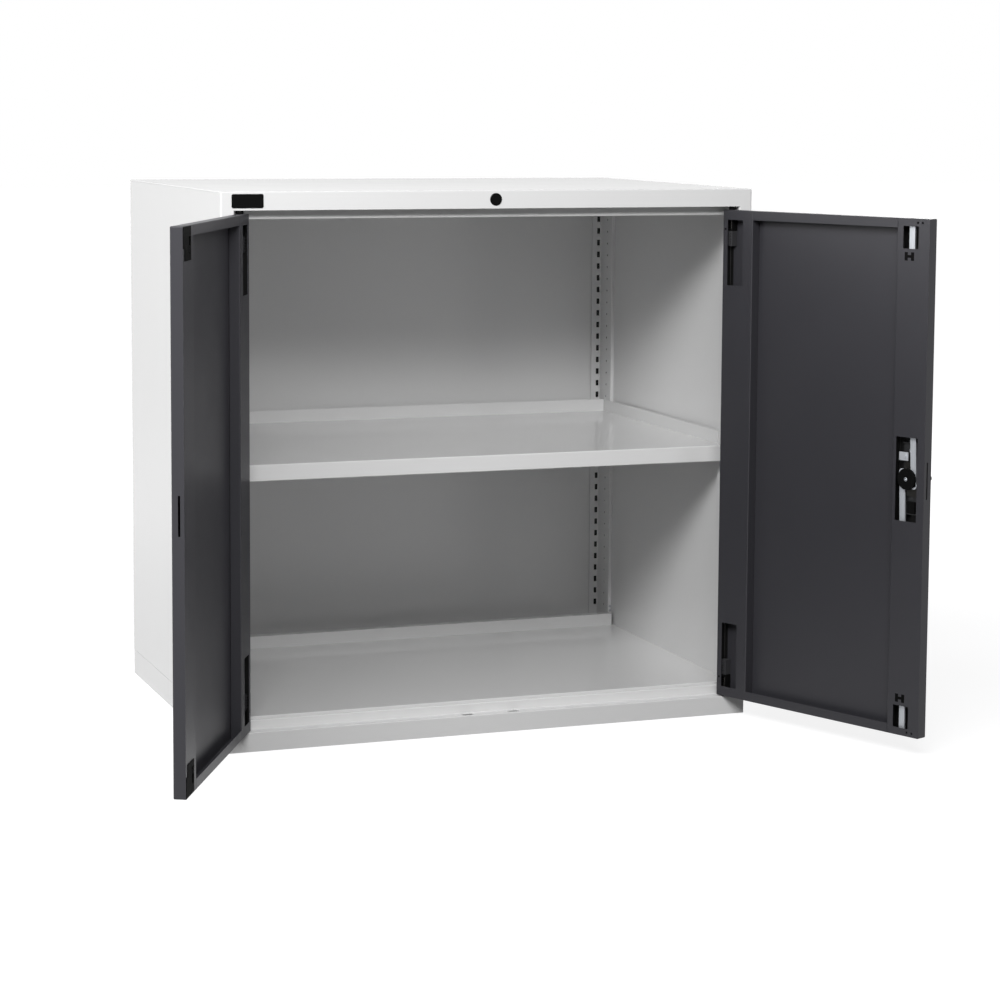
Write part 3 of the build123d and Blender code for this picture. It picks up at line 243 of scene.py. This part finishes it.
def coat_grain_group():
    """Powder coat: soft mottle in the colour, a fine ripple and faint patches of sheen."""
    group, start, end = new_group(
        "Coat Grain",
        [("Vector", "NodeSocketVector", None), ("Colour", "NodeSocketColor", (0.8, 0.8, 0.8, 1)),
         ("Grain Scale", "NodeSocketFloat", 700.0), ("Grain Depth", "NodeSocketFloat", 0.15),
         ("Mottle", "NodeSocketFloat", 0.02), ("Roughness", "NodeSocketFloat", 0.35),
         ("Sheen Patches", "NodeSocketFloat", 0.06)],
        [("Colour", "NodeSocketColor"), ("Roughness", "NodeSocketFloat"), ("Normal", "NodeSocketVector")],
    )
    link = group.links.new
    cloud = add(group, "ShaderNodeTexNoise", (-600, 300))
    cloud.inputs["Scale"].default_value = 2.4
    cloud.inputs["Detail"].default_value = 3.0
    link(start.outputs["Vector"], cloud.inputs["Vector"])
    centred = add(group, "ShaderNodeMath", (-400, 300), operation="SUBTRACT")
    centred.inputs[1].default_value = 0.5
    link(cloud.outputs["Fac"], centred.inputs[0])
    amount = add(group, "ShaderNodeMath", (-220, 300), operation="MULTIPLY")
    link(centred.outputs[0], amount.inputs[0])
    link(start.outputs["Mottle"], amount.inputs[1])
    lift = add(group, "ShaderNodeMath", (-40, 300), operation="ADD")
    lift.inputs[1].default_value = 1.0
    link(amount.outputs[0], lift.inputs[0])
    tint = add(group, "ShaderNodeVectorMath", (160, 300), operation="SCALE")
    link(start.outputs["Colour"], tint.inputs[0])
    link(lift.outputs[0], tint.inputs["Scale"])
    link(tint.outputs[0], end.inputs["Colour"])

    patches = add(group, "ShaderNodeTexNoise", (-600, 0))
    patches.inputs["Scale"].default_value = 9.0
    patches.inputs["Detail"].default_value = 4.0
    link(start.outputs["Vector"], patches.inputs["Vector"])
    middle = add(group, "ShaderNodeMath", (-400, 0), operation="SUBTRACT")
    middle.inputs[1].default_value = 0.5
    link(patches.outputs["Fac"], middle.inputs[0])
    patch = add(group, "ShaderNodeMath", (-220, 0), operation="MULTIPLY_ADD")
    link(middle.outputs[0], patch.inputs[0])
    link(start.outputs["Sheen Patches"], patch.inputs[1])
    link(start.outputs["Roughness"], patch.inputs[2])
    link(patch.outputs[0], end.inputs["Roughness"])

    ripple = add(group, "ShaderNodeTexNoise", (-600, -300))
    ripple.inputs["Detail"].default_value = 1.5
    link(start.outputs["Vector"], ripple.inputs["Vector"])
    link(start.outputs["Grain Scale"], ripple.inputs["Scale"])
    bump = add(group, "ShaderNodeBump", (160, -300))
    bump.inputs["Distance"].default_value = 0.00008
    link(ripple.outputs["Fac"], bump.inputs["Height"])
    link(start.outputs["Grain Depth"], bump.inputs["Strength"])
    link(bump.outputs["Normal"], end.inputs["Normal"])
    return group


def edge_rub_group():
    """Mask that is white where a fold or cut edge is close."""
    group, start, end = new_group(
        "Edge Rub",
        [("Vector", "NodeSocketVector", None), ("Width", "NodeSocketFloat", 0.0007),
         ("Amount", "NodeSocketFloat", 0.5)],
        [("Mask", "NodeSocketFloat")],
    )
    link = group.links.new
    soft = add(group, "ShaderNodeBevel", (-600, 200), samples=4)
    link(start.outputs["Width"], soft.inputs["Radius"])
    facing = add(group, "ShaderNodeNewGeometry", (-600, 0))
    agree = add(group, "ShaderNodeVectorMath", (-400, 150), operation="DOT_PRODUCT")
    link(soft.outputs["Normal"], agree.inputs[0])
    link(facing.outputs["Normal"], agree.inputs[1])
    edge = add(group, "ShaderNodeMapRange", (-200, 150))
    edge.inputs["From Min"].default_value = 0.995
    edge.inputs["From Max"].default_value = 0.80
    link(agree.outputs["Value"], edge.inputs["Value"])
    uneven = add(group, "ShaderNodeTexNoise", (-400, -150))
    uneven.inputs["Scale"].default_value = 26.0
    uneven.inputs["Detail"].default_value = 3.0
    link(start.outputs["Vector"], uneven.inputs["Vector"])
    broken = add(group, "ShaderNodeMapRange", (-200, -150))
    broken.inputs["From Min"].default_value = 0.35
    broken.inputs["From Max"].default_value = 0.65
    link(uneven.outputs["Fac"], broken.inputs["Value"])
    both = add(group, "ShaderNodeMath", (0, 50), operation="MULTIPLY")
    link(edge.outputs["Result"], both.inputs[0])
    link(broken.outputs["Result"], both.inputs[1])
    scaled = add(group, "ShaderNodeMath", (200, 50), operation="MULTIPLY")
    link(both.outputs[0], scaled.inputs[0])
    link(start.outputs["Amount"], scaled.inputs[1])
    link(scaled.outputs[0], end.inputs["Mask"])
    return group


def painted_shade_box_group():
    """Mask that is white inside a box: painted shade on a place behind another sheet."""
    group, start, end = new_group(
        "Painted Shade Box",
        [("Vector", "NodeSocketVector", None), ("Middle", "NodeSocketVector", None),
         ("Half Size", "NodeSocketVector", None)],
        [("Mask", "NodeSocketFloat")],
    )
    link = group.links.new
    offset = add(group, "ShaderNodeVectorMath", (-600, 0), operation="SUBTRACT")
    link(start.outputs["Vector"], offset.inputs[0])
    link(start.outputs["Middle"], offset.inputs[1])
    distance = add(group, "ShaderNodeVectorMath", (-420, 0), operation="ABSOLUTE")
    link(offset.outputs[0], distance.inputs[0])
    beyond = add(group, "ShaderNodeVectorMath", (-240, 0), operation="SUBTRACT")
    link(distance.outputs[0], beyond.inputs[0])
    link(start.outputs["Half Size"], beyond.inputs[1])
    parts = add(group, "ShaderNodeSeparateXYZ", (-60, 0))
    link(beyond.outputs[0], parts.inputs[0])
    across = add(group, "ShaderNodeMath", (120, 80), operation="MAXIMUM")
    link(parts.outputs["X"], across.inputs[0])
    link(parts.outputs["Y"], across.inputs[1])
    worst = add(group, "ShaderNodeMath", (300, 40), operation="MAXIMUM")
    link(across.outputs[0], worst.inputs[0])
    link(parts.outputs["Z"], worst.inputs[1])
    inside = add(group, "ShaderNodeMath", (480, 40), operation="LESS_THAN")
    link(worst.outputs[0], inside.inputs[0])
    inside.inputs[1].default_value = 0.0
    link(inside.outputs[0], end.inputs["Mask"])
    return group


def painted_shade_mask(tree, place, shade_boxes):
    """Adds one painted-shade group for each box and joins their masks into one painted shade mask."""
    mask = None
    for index, (low, high) in enumerate(shade_boxes):
        shade_box = grouped(tree, "Painted Shade Box", (-700, -500 - 200 * index))
        shade_box.inputs["Middle"].default_value = [(a + b) / 2 for a, b in zip(low, high)]
        shade_box.inputs["Half Size"].default_value = [(b - a) / 2 for a, b in zip(low, high)]
        tree.links.new(place, shade_box.inputs["Vector"])
        if mask is None:
            mask = shade_box.outputs["Mask"]
        else:
            either = add(tree, "ShaderNodeMath", (-450, -500 - 200 * index), operation="MAXIMUM")
            tree.links.new(mask, either.inputs[0])
            tree.links.new(shade_box.outputs["Mask"], either.inputs[1])
            mask = either.outputs[0]
    return mask


def shut_place(tree, place, side):
    """Object coordinates turned to where the door's points are when it is shut."""
    back = door_turn(side).inverted()
    node = add(tree, "ShaderNodeMapping", (-900, -500))
    node.inputs["Location"].default_value = back.to_translation()
    node.inputs["Rotation"].default_value = back.to_euler()
    tree.links.new(place, node.inputs["Vector"])
    return node.outputs["Vector"]


def plain_material(name, viewport):
    """Material with its Principled shader, its group-ready coordinates and its viewport colour."""
    material = bpy.data.materials.new(name)
    material.use_nodes = True
    material.diffuse_color = (*viewport, 1)
    tree = material.node_tree
    shader = tree.nodes["Principled BSDF"]
    shader.location = (300, 0)
    tree.nodes["Material Output"].location = (600, 0)
    place = add(tree, "ShaderNodeTexCoord", (-900, 0))
    return material, tree, shader, place.outputs["Object"]


def powder_coat(
        name, colour, rubbed, specular, roughness, patches, depth, mottle, rub, finishes,
        shade_boxes=(), door=None):
    """Coated sheet steel: its grain, the edges where it is thinner and painted shade inside the boxes it
    is given.
    """
    material, tree, shader, place = plain_material(name, colour)
    link = tree.links.new
    shader.inputs["Specular IOR Level"].default_value = specular
    grain = grouped(tree, "Coat Grain", (-500, 100))
    grain.inputs["Colour"].default_value = (*colour, 1)
    grain.inputs["Grain Scale"].default_value = 1 / finishes.grain_size
    grain.inputs["Grain Depth"].default_value = depth
    grain.inputs["Mottle"].default_value = mottle
    grain.inputs["Roughness"].default_value = roughness
    grain.inputs["Sheen Patches"].default_value = patches
    link(place, grain.inputs["Vector"])
    edges = grouped(tree, "Edge Rub", (-500, -250))
    edges.inputs["Width"].default_value = finishes.rub_width
    edges.inputs["Amount"].default_value = rub
    link(place, edges.inputs["Vector"])
    mix = add(tree, "ShaderNodeMix", (0, 150), data_type="RGBA")
    link(edges.outputs["Mask"], mix.inputs[0])
    link(grain.outputs["Colour"], mix.inputs[6])
    mix.inputs[7].default_value = (*rubbed, 1)
    coat = mix.outputs[2]
    if shade_boxes:
        # Painted shade: inside the boxes the coat is mixed to near black.
        bare = add(tree, "ShaderNodeMix", (150, 150), data_type="RGBA")
        where = shut_place(tree, place, door) if door else place
        link(painted_shade_mask(tree, where, shade_boxes), bare.inputs[0])
        link(coat, bare.inputs[6])
        bare.inputs[7].default_value = PAINTED_SHADE_COLOUR
        coat = bare.outputs[2]
    link(coat, shader.inputs["Base Color"])
    link(grain.outputs["Roughness"], shader.inputs["Roughness"])
    link(grain.outputs["Normal"], shader.inputs["Normal"])
    return material


def moulded_plastic(name, colour, roughness):
    """Injection-moulded plastic with a spark-eroded grain."""
    material, tree, shader, place = plain_material(name, colour)
    link = tree.links.new
    shader.inputs["Specular IOR Level"].default_value = 0.01
    grain = grouped(tree, "Coat Grain", (-500, 100))
    grain.inputs["Colour"].default_value = (*colour, 1)
    grain.inputs["Grain Scale"].default_value = 2600.0
    grain.inputs["Grain Depth"].default_value = 0.35
    grain.inputs["Mottle"].default_value = 0.25
    grain.inputs["Roughness"].default_value = roughness
    grain.inputs["Sheen Patches"].default_value = 0.18
    link(place, grain.inputs["Vector"])
    edges = grouped(tree, "Edge Rub", (-500, -250))
    edges.inputs["Width"].default_value = 0.0004
    edges.inputs["Amount"].default_value = 0.35
    link(place, edges.inputs["Vector"])
    mix = add(tree, "ShaderNodeMix", (0, 150), data_type="RGBA")
    link(edges.outputs["Mask"], mix.inputs[0])
    link(grain.outputs["Colour"], mix.inputs[6])
    mix.inputs[7].default_value = WORN_PLASTIC
    link(mix.outputs[2], shader.inputs["Base Color"])
    link(grain.outputs["Roughness"], shader.inputs["Roughness"])
    link(grain.outputs["Normal"], shader.inputs["Normal"])
    return material


def zinc_plate(name, colour, stretch, roughness, metallic=1.0):
    """Bright zinc on drawn steel: fine lines along the strip and cloudy passivation."""
    material, tree, shader, place = plain_material(name, colour)
    link = tree.links.new
    shader.inputs["Metallic"].default_value = metallic
    along = add(tree, "ShaderNodeMapping", (-700, 0))
    along.inputs["Scale"].default_value = stretch
    link(place, along.inputs["Vector"])
    lines = add(tree, "ShaderNodeTexNoise", (-500, 0))
    lines.inputs["Scale"].default_value = 1.0
    lines.inputs["Detail"].default_value = 4.0
    link(along.outputs["Vector"], lines.inputs["Vector"])
    cloud = add(tree, "ShaderNodeTexNoise", (-500, 300))
    cloud.inputs["Scale"].default_value = 42.0
    cloud.inputs["Detail"].default_value = 3.0
    link(place, cloud.inputs["Vector"])
    tint = add(tree, "ShaderNodeMix", (-250, 300), data_type="RGBA")
    link(cloud.outputs["Fac"], tint.inputs[0])
    tint.inputs[6].default_value = (*(c * 0.86 for c in colour), 1)
    tint.inputs[7].default_value = (*(min(1.0, c * 1.10) for c in colour), 1)
    link(tint.outputs[2], shader.inputs["Base Color"])
    sheen = spread(tree, lines.outputs["Fac"], roughness - 0.08, roughness + 0.10, (-250, 0))
    link(sheen, shader.inputs["Roughness"])
    bump = add(tree, "ShaderNodeBump", (0, -250))
    bump.inputs["Strength"].default_value = 0.25
    bump.inputs["Distance"].default_value = 0.00003
    link(lines.outputs["Fac"], bump.inputs["Height"])
    link(bump.outputs["Normal"], shader.inputs["Normal"])
    return material


def coat_nodes(names, material):
    """Gives CAD nodes a finish, in every slot they have."""
    for name in names:
        piece = NODES[name]
        for index in range(max(1, len(piece.material_slots))):
            if not piece.material_slots:
                piece.data.materials.append(material)
            piece.material_slots[index].material = material


# ---- modelling helpers --------------------------------------------------------------------------
def start_clean():
    if bpy.context.object and bpy.context.object.mode != "OBJECT":
        bpy.ops.object.mode_set(mode="OBJECT")
    bpy.ops.object.select_all(action="DESELECT")


def pick_faces(piece, wanted):
    """In edit mode, selects only the faces that pass a test."""
    bpy.ops.mesh.select_mode(type="FACE")
    bpy.ops.mesh.select_all(action="DESELECT")
    mesh = bmesh.from_edit_mesh(piece.data)
    for face in mesh.faces:
        face.select_set(bool(wanted(face)))
    bmesh.update_edit_mesh(piece.data)


def settle(piece, smooth=35.0):
    """Leaves edit mode and puts the piece's place into its mesh."""
    if piece.mode != "OBJECT":
        bpy.ops.object.mode_set(mode="OBJECT")
    bpy.ops.object.select_all(action="DESELECT")
    piece.select_set(True)
    bpy.context.view_layer.objects.active = piece
    bpy.ops.object.transform_apply(location=True, rotation=True, scale=True)
    bpy.ops.object.shade_smooth_by_angle(angle=math.radians(smooth))
    return piece


def bevel_piece(piece, width, segments=2):
    rounding = piece.modifiers.new("Rounding", "BEVEL")
    rounding.width = width
    rounding.segments = segments
    rounding.limit_method = "ANGLE"
    rounding.angle_limit = math.radians(30)
    bpy.context.view_layer.objects.active = piece
    bpy.ops.object.modifier_apply(modifier=rounding.name)


def door_turn(side):
    """Matrix that carries a piece from the shut door to the open one."""
    joint = JOINTS[f"{side}_door_hinge"]
    pivot = Vector(joint["pos_m"])
    shut = joint["range_deg"][0] * joint["axis"][2]
    opening = Matrix.Rotation(math.radians(-shut), 4, "Z")
    return Matrix.Translation(pivot) @ opening @ Matrix.Translation(-pivot)


def finish_piece(piece, material, body):
    piece.data.materials.clear()
    piece.data.materials.append(material)
    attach(piece, body)
    return piece


# ---- the operators ------------------------------------------------------------------------------
class CABINET_OT_finishes(Operator):
    """Makes the finishes and puts them on the cabinet's pieces"""
    bl_idname = "cabinet.finishes"
    bl_label = "Finishes"

    def execute(self, context):
        finishes = context.scene.cabinet_finishes
        coat_grain_group()
        edge_rub_group()
        painted_shade_box_group()
        grey = tuple(finishes.carcass_colour)
        dark = tuple(finishes.door_colour)
        carcass = dict(
            colour=grey, rubbed=tuple(c * 0.93 for c in grey), specular=0.5, roughness=0.22,
            patches=0.05, depth=0.10, mottle=0.025, rub=0.35, finishes=finishes)
        shelving = dict(carcass, roughness=0.10, patches=0.04, depth=0.02)
        doors = dict(
            colour=dark, rubbed=tuple(c * 1.6 for c in dark), specular=0.3, roughness=0.42,
            patches=0.08, depth=0.16, mottle=0.10, rub=0.6, finishes=finishes)
        case = powder_coat(
            "Lock Box Coat", colour=tuple(finishes.case_colour), rubbed=CASE_EDGE, specular=0.5,
            roughness=0.45, patches=0.1, depth=0.2, mottle=0.1, rub=0.5, finishes=finishes)
        plastic = moulded_plastic("Moulded Plastic", tuple(finishes.plastic_colour), 0.55)
        sliders = moulded_plastic("Slider Plastic", tuple(finishes.slider_colour), 0.55)
        coat_nodes(PIN_SLIDERS, sliders)
        strips = zinc_plate("Zinc Strip", tuple(finishes.plating_colour), (900, 900, 14), 0.55, 0.7)
        turnings = zinc_plate("Zinc Turning", tuple(finishes.plating_colour), (60, 60, 1400), 0.30)
        dark_steel = zinc_plate("Dark Steel", DARK_STEEL_COLOUR, (60, 60, 1400), 0.38)
        coat_nodes(GREY_SHEETS, powder_coat("Carcass Coat", **carcass))
        coat_nodes(DOOR_SHEETS, powder_coat("Door Coat", **doors))
        # Copies of the carcass coat with painted shade: near black behind the uprights on the back panel,
        # uprights and side panels.
        back = powder_coat("Back Panel Coat With Painted Shade", **carcass, shade_boxes=BACK_PAINTED_SHADE)
        coat_nodes(("back_panel",), back)
        uprights = powder_coat("Upright Coat With Painted Shade", **carcass, shade_boxes=UPRIGHT_PAINTED_SHADE)
        coat_nodes(REAR_UPRIGHTS, uprights)
        coat_nodes(SHELVING, powder_coat("Shelf Coat", **shelving))
        sides = powder_coat("Side Panel Coat With Painted Shade", **carcass, shade_boxes=SIDE_PAINTED_SHADE)
        coat_nodes(("side_panel_left", "side_panel_right"), sides)
        for side in ("left", "right"):
            # Copies of the door coat with painted shade: near black inside the door's skin and lock
            # stile.
            skin = powder_coat(f"Door Skin Coat With Painted Shade {side}", **doors, shade_boxes=DOOR_PAINTED_SHADE, door=side)
            coat_nodes((f"{side}_door_skin",), skin)
            stile = powder_coat(f"Lock Stile Coat With Painted Shade {side}", **doors, shade_boxes=STILE_PAINTED_SHADE, door=side)
            coat_nodes((f"{side}_lock_stile",), stile)
        coat_nodes(DARK_STEEL_PIECES, dark_steel)
        coat_nodes(("lock_case",), case)
        coat_nodes(MOULDINGS, plastic)
        coat_nodes(PLATED_STRIPS, strips)
        coat_nodes(PLATED_TURNINGS, turnings)
        return {"FINISHED"}


class CABINET_OT_fascia_plug(Operator):
    """Models the round plug in the fascia, with its raised ring"""
    bl_idname = "cabinet.fascia_plug"
    bl_label = "Fascia Plug"

    def execute(self, context):
        trim = context.scene.cabinet_trim
        middle = (PLUG_LOW + PLUG_HIGH) / 2
        radius = (PLUG_HIGH.x - PLUG_LOW.x) / 2
        rim = FRONT - PLUG_LOW.y
        start_clean()
        bpy.ops.mesh.primitive_circle_add(
            vertices=72, radius=radius * 0.84, fill_type="NGON",
            location=(middle.x, PLUG_HIGH.y, middle.z), rotation=(math.radians(90), 0, 0))
        plug = context.object
        plug.name = "fascia_plug_cap"
        bpy.ops.object.transform_apply(location=True, rotation=True, scale=True)
        bpy.ops.object.mode_set(mode="EDIT")
        steps = (
            (0.0, -(PLUG_HIGH.y - FRONT)), (-(radius * 0.16), 0.0), (0.0, -rim * 0.6),
            (0.0004, -rim * 0.3), (radius - trim.plug_ring / 2 - 0.0010, 0.0), (0.0003, rim * 0.55),
            (0.0009, 0.0), (0.0003, -rim * 0.65), (0.0012, 0.0), (0.0006, rim * 0.3),
        )
        for inwards, forwards in steps:
            bpy.ops.mesh.extrude_region_move(TRANSFORM_OT_translate={"value": (0, forwards, 0)})
            if inwards:
                mesh = bmesh.from_edit_mesh(plug.data)
                chosen = {v for f in mesh.faces if f.select for v in f.verts}
                for vert in chosen:
                    offset = Vector((vert.co.x - middle.x, 0, vert.co.z - middle.z))
                    vert.co -= offset.normalized() * inwards
                bmesh.update_edit_mesh(plug.data)
        bpy.ops.mesh.select_all(action="SELECT")
        bpy.ops.mesh.remove_doubles(threshold=0.000001)
        bpy.ops.mesh.normals_make_consistent(inside=False)
        settle(plug)
        bevel_piece(plug, 0.00018)
        settle(plug)
        finish_piece(plug, bpy.data.materials["Moulded Plastic"], "cabinet")
        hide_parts("fascia_plug")
        return {"FINISHED"}


class CABINET_OT_badge(Operator):
    """Models the bare badge plate with a fine raised rim"""
    bl_idname = "cabinet.badge"
    bl_label = "Badge Plate"

    def execute(self, context):
        trim = context.scene.cabinet_trim
        low, high = BADGE_LOW, BADGE_HIGH
        middle = (low + high) / 2
        size = high - low
        start_clean()
        bpy.ops.mesh.primitive_cube_add(size=1, location=middle)
        plate = context.object
        plate.name = "badge_blank"
        plate.scale = size
        bpy.ops.object.transform_apply(location=True, rotation=True, scale=True)
        bpy.ops.object.mode_set(mode="EDIT")
        bpy.ops.mesh.select_mode(type="EDGE")
        bpy.ops.mesh.select_all(action="DESELECT")
        mesh = bmesh.from_edit_mesh(plate.data)
        for edge in mesh.edges:
            run = edge.verts[0].co - edge.verts[1].co
            edge.select_set(abs(run.y) > 0.5 * size.y and abs(run.x) < 1e-6)
        bmesh.update_edit_mesh(plate.data)
        bpy.ops.mesh.bevel(offset=0.003, segments=8, affect="EDGES")
        pick_faces(plate, lambda face: face.normal.y < -0.9)
        bpy.ops.mesh.inset(thickness=trim.badge_rim, depth=0)
        bpy.ops.mesh.inset(thickness=0.0003, depth=-0.00035)
        bpy.ops.mesh.select_all(action="SELECT")
        bpy.ops.mesh.normals_make_consistent(inside=False)
        settle(plate)
        bevel_piece(plate, 0.0002)
        settle(plate)
        finish_piece(plate, bpy.data.materials["Moulded Plastic"], "cabinet")
        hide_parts("badge_plate")
        return {"FINISHED"}


class CABINET_OT_stage(Operator):
    """Sets the floor, the lamps, the surround and the camera"""
    bl_idname = "cabinet.stage"
    bl_label = "Stage"

    def execute(self, context):
        stage = context.scene.cabinet_stage
        scene = context.scene
        scene.view_settings.view_transform = "Standard"
        self.floor()
        self.surround(scene, stage)
        self.lamps(stage)
        self.camera(scene, stage)
        return {"FINISHED"}

    def white_rays(self, tree, place):
        """1 for camera, mirror and see-through rays."""
        path = add(tree, "ShaderNodeLightPath", place)
        first = add(tree, "ShaderNodeMath", (place[0] + 200, place[1]), operation="MAXIMUM")
        second = add(tree, "ShaderNodeMath", (place[0] + 400, place[1]), operation="MAXIMUM")
        tree.links.new(path.outputs["Is Camera Ray"], first.inputs[0])
        tree.links.new(path.outputs["Is Glossy Ray"], first.inputs[1])
        tree.links.new(first.outputs[0], second.inputs[0])
        tree.links.new(path.outputs["Is Transmission Ray"], second.inputs[1])
        return second.outputs[0]

    def floor(self):
        start_clean()
        bpy.ops.mesh.primitive_plane_add(size=60, location=(0, 0, -0.0005))
        floor = bpy.context.object
        floor.name = "studio_floor"
        material = bpy.data.materials.new("Studio Floor")
        material.use_nodes = True
        tree = material.node_tree
        tree.nodes.clear()
        out = add(tree, "ShaderNodeOutputMaterial", (800, 0))
        seen = add(tree, "ShaderNodeBsdfDiffuse", (0, 100))
        seen.inputs["Color"].default_value = (0.30, 0.30, 0.305, 1)
        # The floor glows, which is painted light: the glow is 0.82 within 1 m of the middle and rises to
        # 1.0 from 3 m out, so lamp shadows show near the cabinet and the far floor is white.
        painted_glow = add(tree, "ShaderNodeEmission", (0, -50))
        ground = add(tree, "ShaderNodeTexCoord", (-800, -50))
        reach = add(tree, "ShaderNodeVectorMath", (-600, -50), operation="LENGTH")
        rise = add(tree, "ShaderNodeMapRange", (-400, -50), interpolation_type="SMOOTHSTEP")
        for label, value in (("From Min", 1.0), ("From Max", 3.0), ("To Min", 0.82), ("To Max", 1.0)):
            rise.inputs[label].default_value = value
        total = add(tree, "ShaderNodeAddShader", (250, 50))
        plain = add(tree, "ShaderNodeBsdfDiffuse", (250, -200))
        plain.inputs["Color"].default_value = (0.14, 0.14, 0.14, 1)
        choose = add(tree, "ShaderNodeMixShader", (550, 0))
        link = tree.links.new
        link(ground.outputs["Object"], reach.inputs[0])
        link(reach.outputs["Value"], rise.inputs["Value"])
        link(rise.outputs["Result"], painted_glow.inputs["Strength"])
        link(seen.outputs[0], total.inputs[0])
        link(painted_glow.outputs[0], total.inputs[1])
        link(self.white_rays(tree, (-400, 350)), choose.inputs[0])
        link(plain.outputs[0], choose.inputs[1])
        link(total.outputs[0], choose.inputs[2])
        link(choose.outputs[0], out.inputs["Surface"])
        floor.data.materials.append(material)

    def surround(self, scene, stage):
        world = bpy.data.worlds.new("Studio Surround")
        scene.world = world
        world.use_nodes = True
        tree = world.node_tree
        back = tree.nodes["Background"]
        back.inputs["Color"].default_value = (1, 1, 1, 1)
        strength = spread(tree, self.white_rays(tree, (-900, 0)), stage.ambient, 1.0, (-200, 0))
        tree.links.new(strength, back.inputs["Strength"])

    def lamps(self, stage):
        for name, place, size, power in (
            ("Key Soft Box", (-1.2, -2.6, 2.36), (3.0, 0.75), stage.key_power),
            ("Side Soft Box", (-4.2, 0.0, 1.6), (1.8, 1.8), stage.side_power),
            ("Rear Left Soft Box", (-3.2, 2.8, 2.2), (1.8, 1.8), stage.rear_power),
            ("Rear Right Soft Box", (3.2, 2.8, 2.2), (1.8, 1.8), stage.rear_power),
            ("Top Soft Box", (0.0, 0.2, 3.6), (2.6, 2.6), stage.top_power),
        ):
            start_clean()
            bpy.ops.object.light_add(type="AREA", location=place)
            lamp = bpy.context.object
            lamp.name = name
            lamp.data.shape = "RECTANGLE"
            lamp.data.size, lamp.data.size_y = size
            lamp.data.energy = power
            aim = AIM - Vector(place)
            lamp.rotation_euler = aim.to_track_quat("-Z", "Y").to_euler()

    def camera(self, scene, stage):
        start_clean()
        bpy.ops.object.camera_add(location=stage.camera_place)
        camera = bpy.context.object
        camera.name = "Studio Camera"
        turn = Matrix.Rotation(-stage.camera_turn, 3, "Z")
        tilt = Matrix.Rotation(math.pi / 2 - stage.camera_tilt, 3, "X")
        roll = Matrix.Rotation(stage.camera_roll, 3, "Z")
        camera.rotation_euler = (turn @ tilt @ roll).to_euler()
        camera.data.sensor_width = 36.0
        camera.data.lens = stage.lens
        camera.data.shift_y = stage.rise
        camera.data.clip_end = 200.0
        camera.data.dof.use_dof = False
        scene.camera = camera


class CABINET_PT_panel(Panel):
    bl_label = "Tool Cabinet"
    bl_idname = "CABINET_PT_panel"
    bl_space_type = "VIEW_3D"
    bl_region_type = "UI"
    bl_category = "Cabinet"

    def draw(self, context):
        for group, _ in SETTINGS:
            settings = getattr(context.scene, group)
            box = self.layout.box()
            for name in settings.__annotations__:
                box.prop(settings, name)
        for operator in PIECES:
            self.layout.operator(operator.bl_idname)


PIECES = (CABINET_OT_finishes, CABINET_OT_fascia_plug, CABINET_OT_badge, CABINET_OT_stage)
SETTINGS = (
    ("cabinet_finishes", CabinetFinishes),
    ("cabinet_trim", CabinetTrim),
    ("cabinet_stage", CabinetStage),
)


def register():
    for name, group in SETTINGS:
        bpy.utils.register_class(group)
        setattr(bpy.types.Scene, name, PointerProperty(type=group))
    for piece in PIECES:
        bpy.utils.register_class(piece)
    bpy.utils.register_class(CABINET_PT_panel)


def unregister():
    bpy.utils.unregister_class(CABINET_PT_panel)
    for piece in reversed(PIECES):
        bpy.utils.unregister_class(piece)
    for name, group in reversed(SETTINGS):
        delattr(bpy.types.Scene, name)
        bpy.utils.unregister_class(group)


def main():
    register()
    for piece in PIECES:
        group, name = piece.bl_idname.split(".")
        getattr(getattr(bpy.ops, group), name)()


if __name__ == "__main__":
    main()
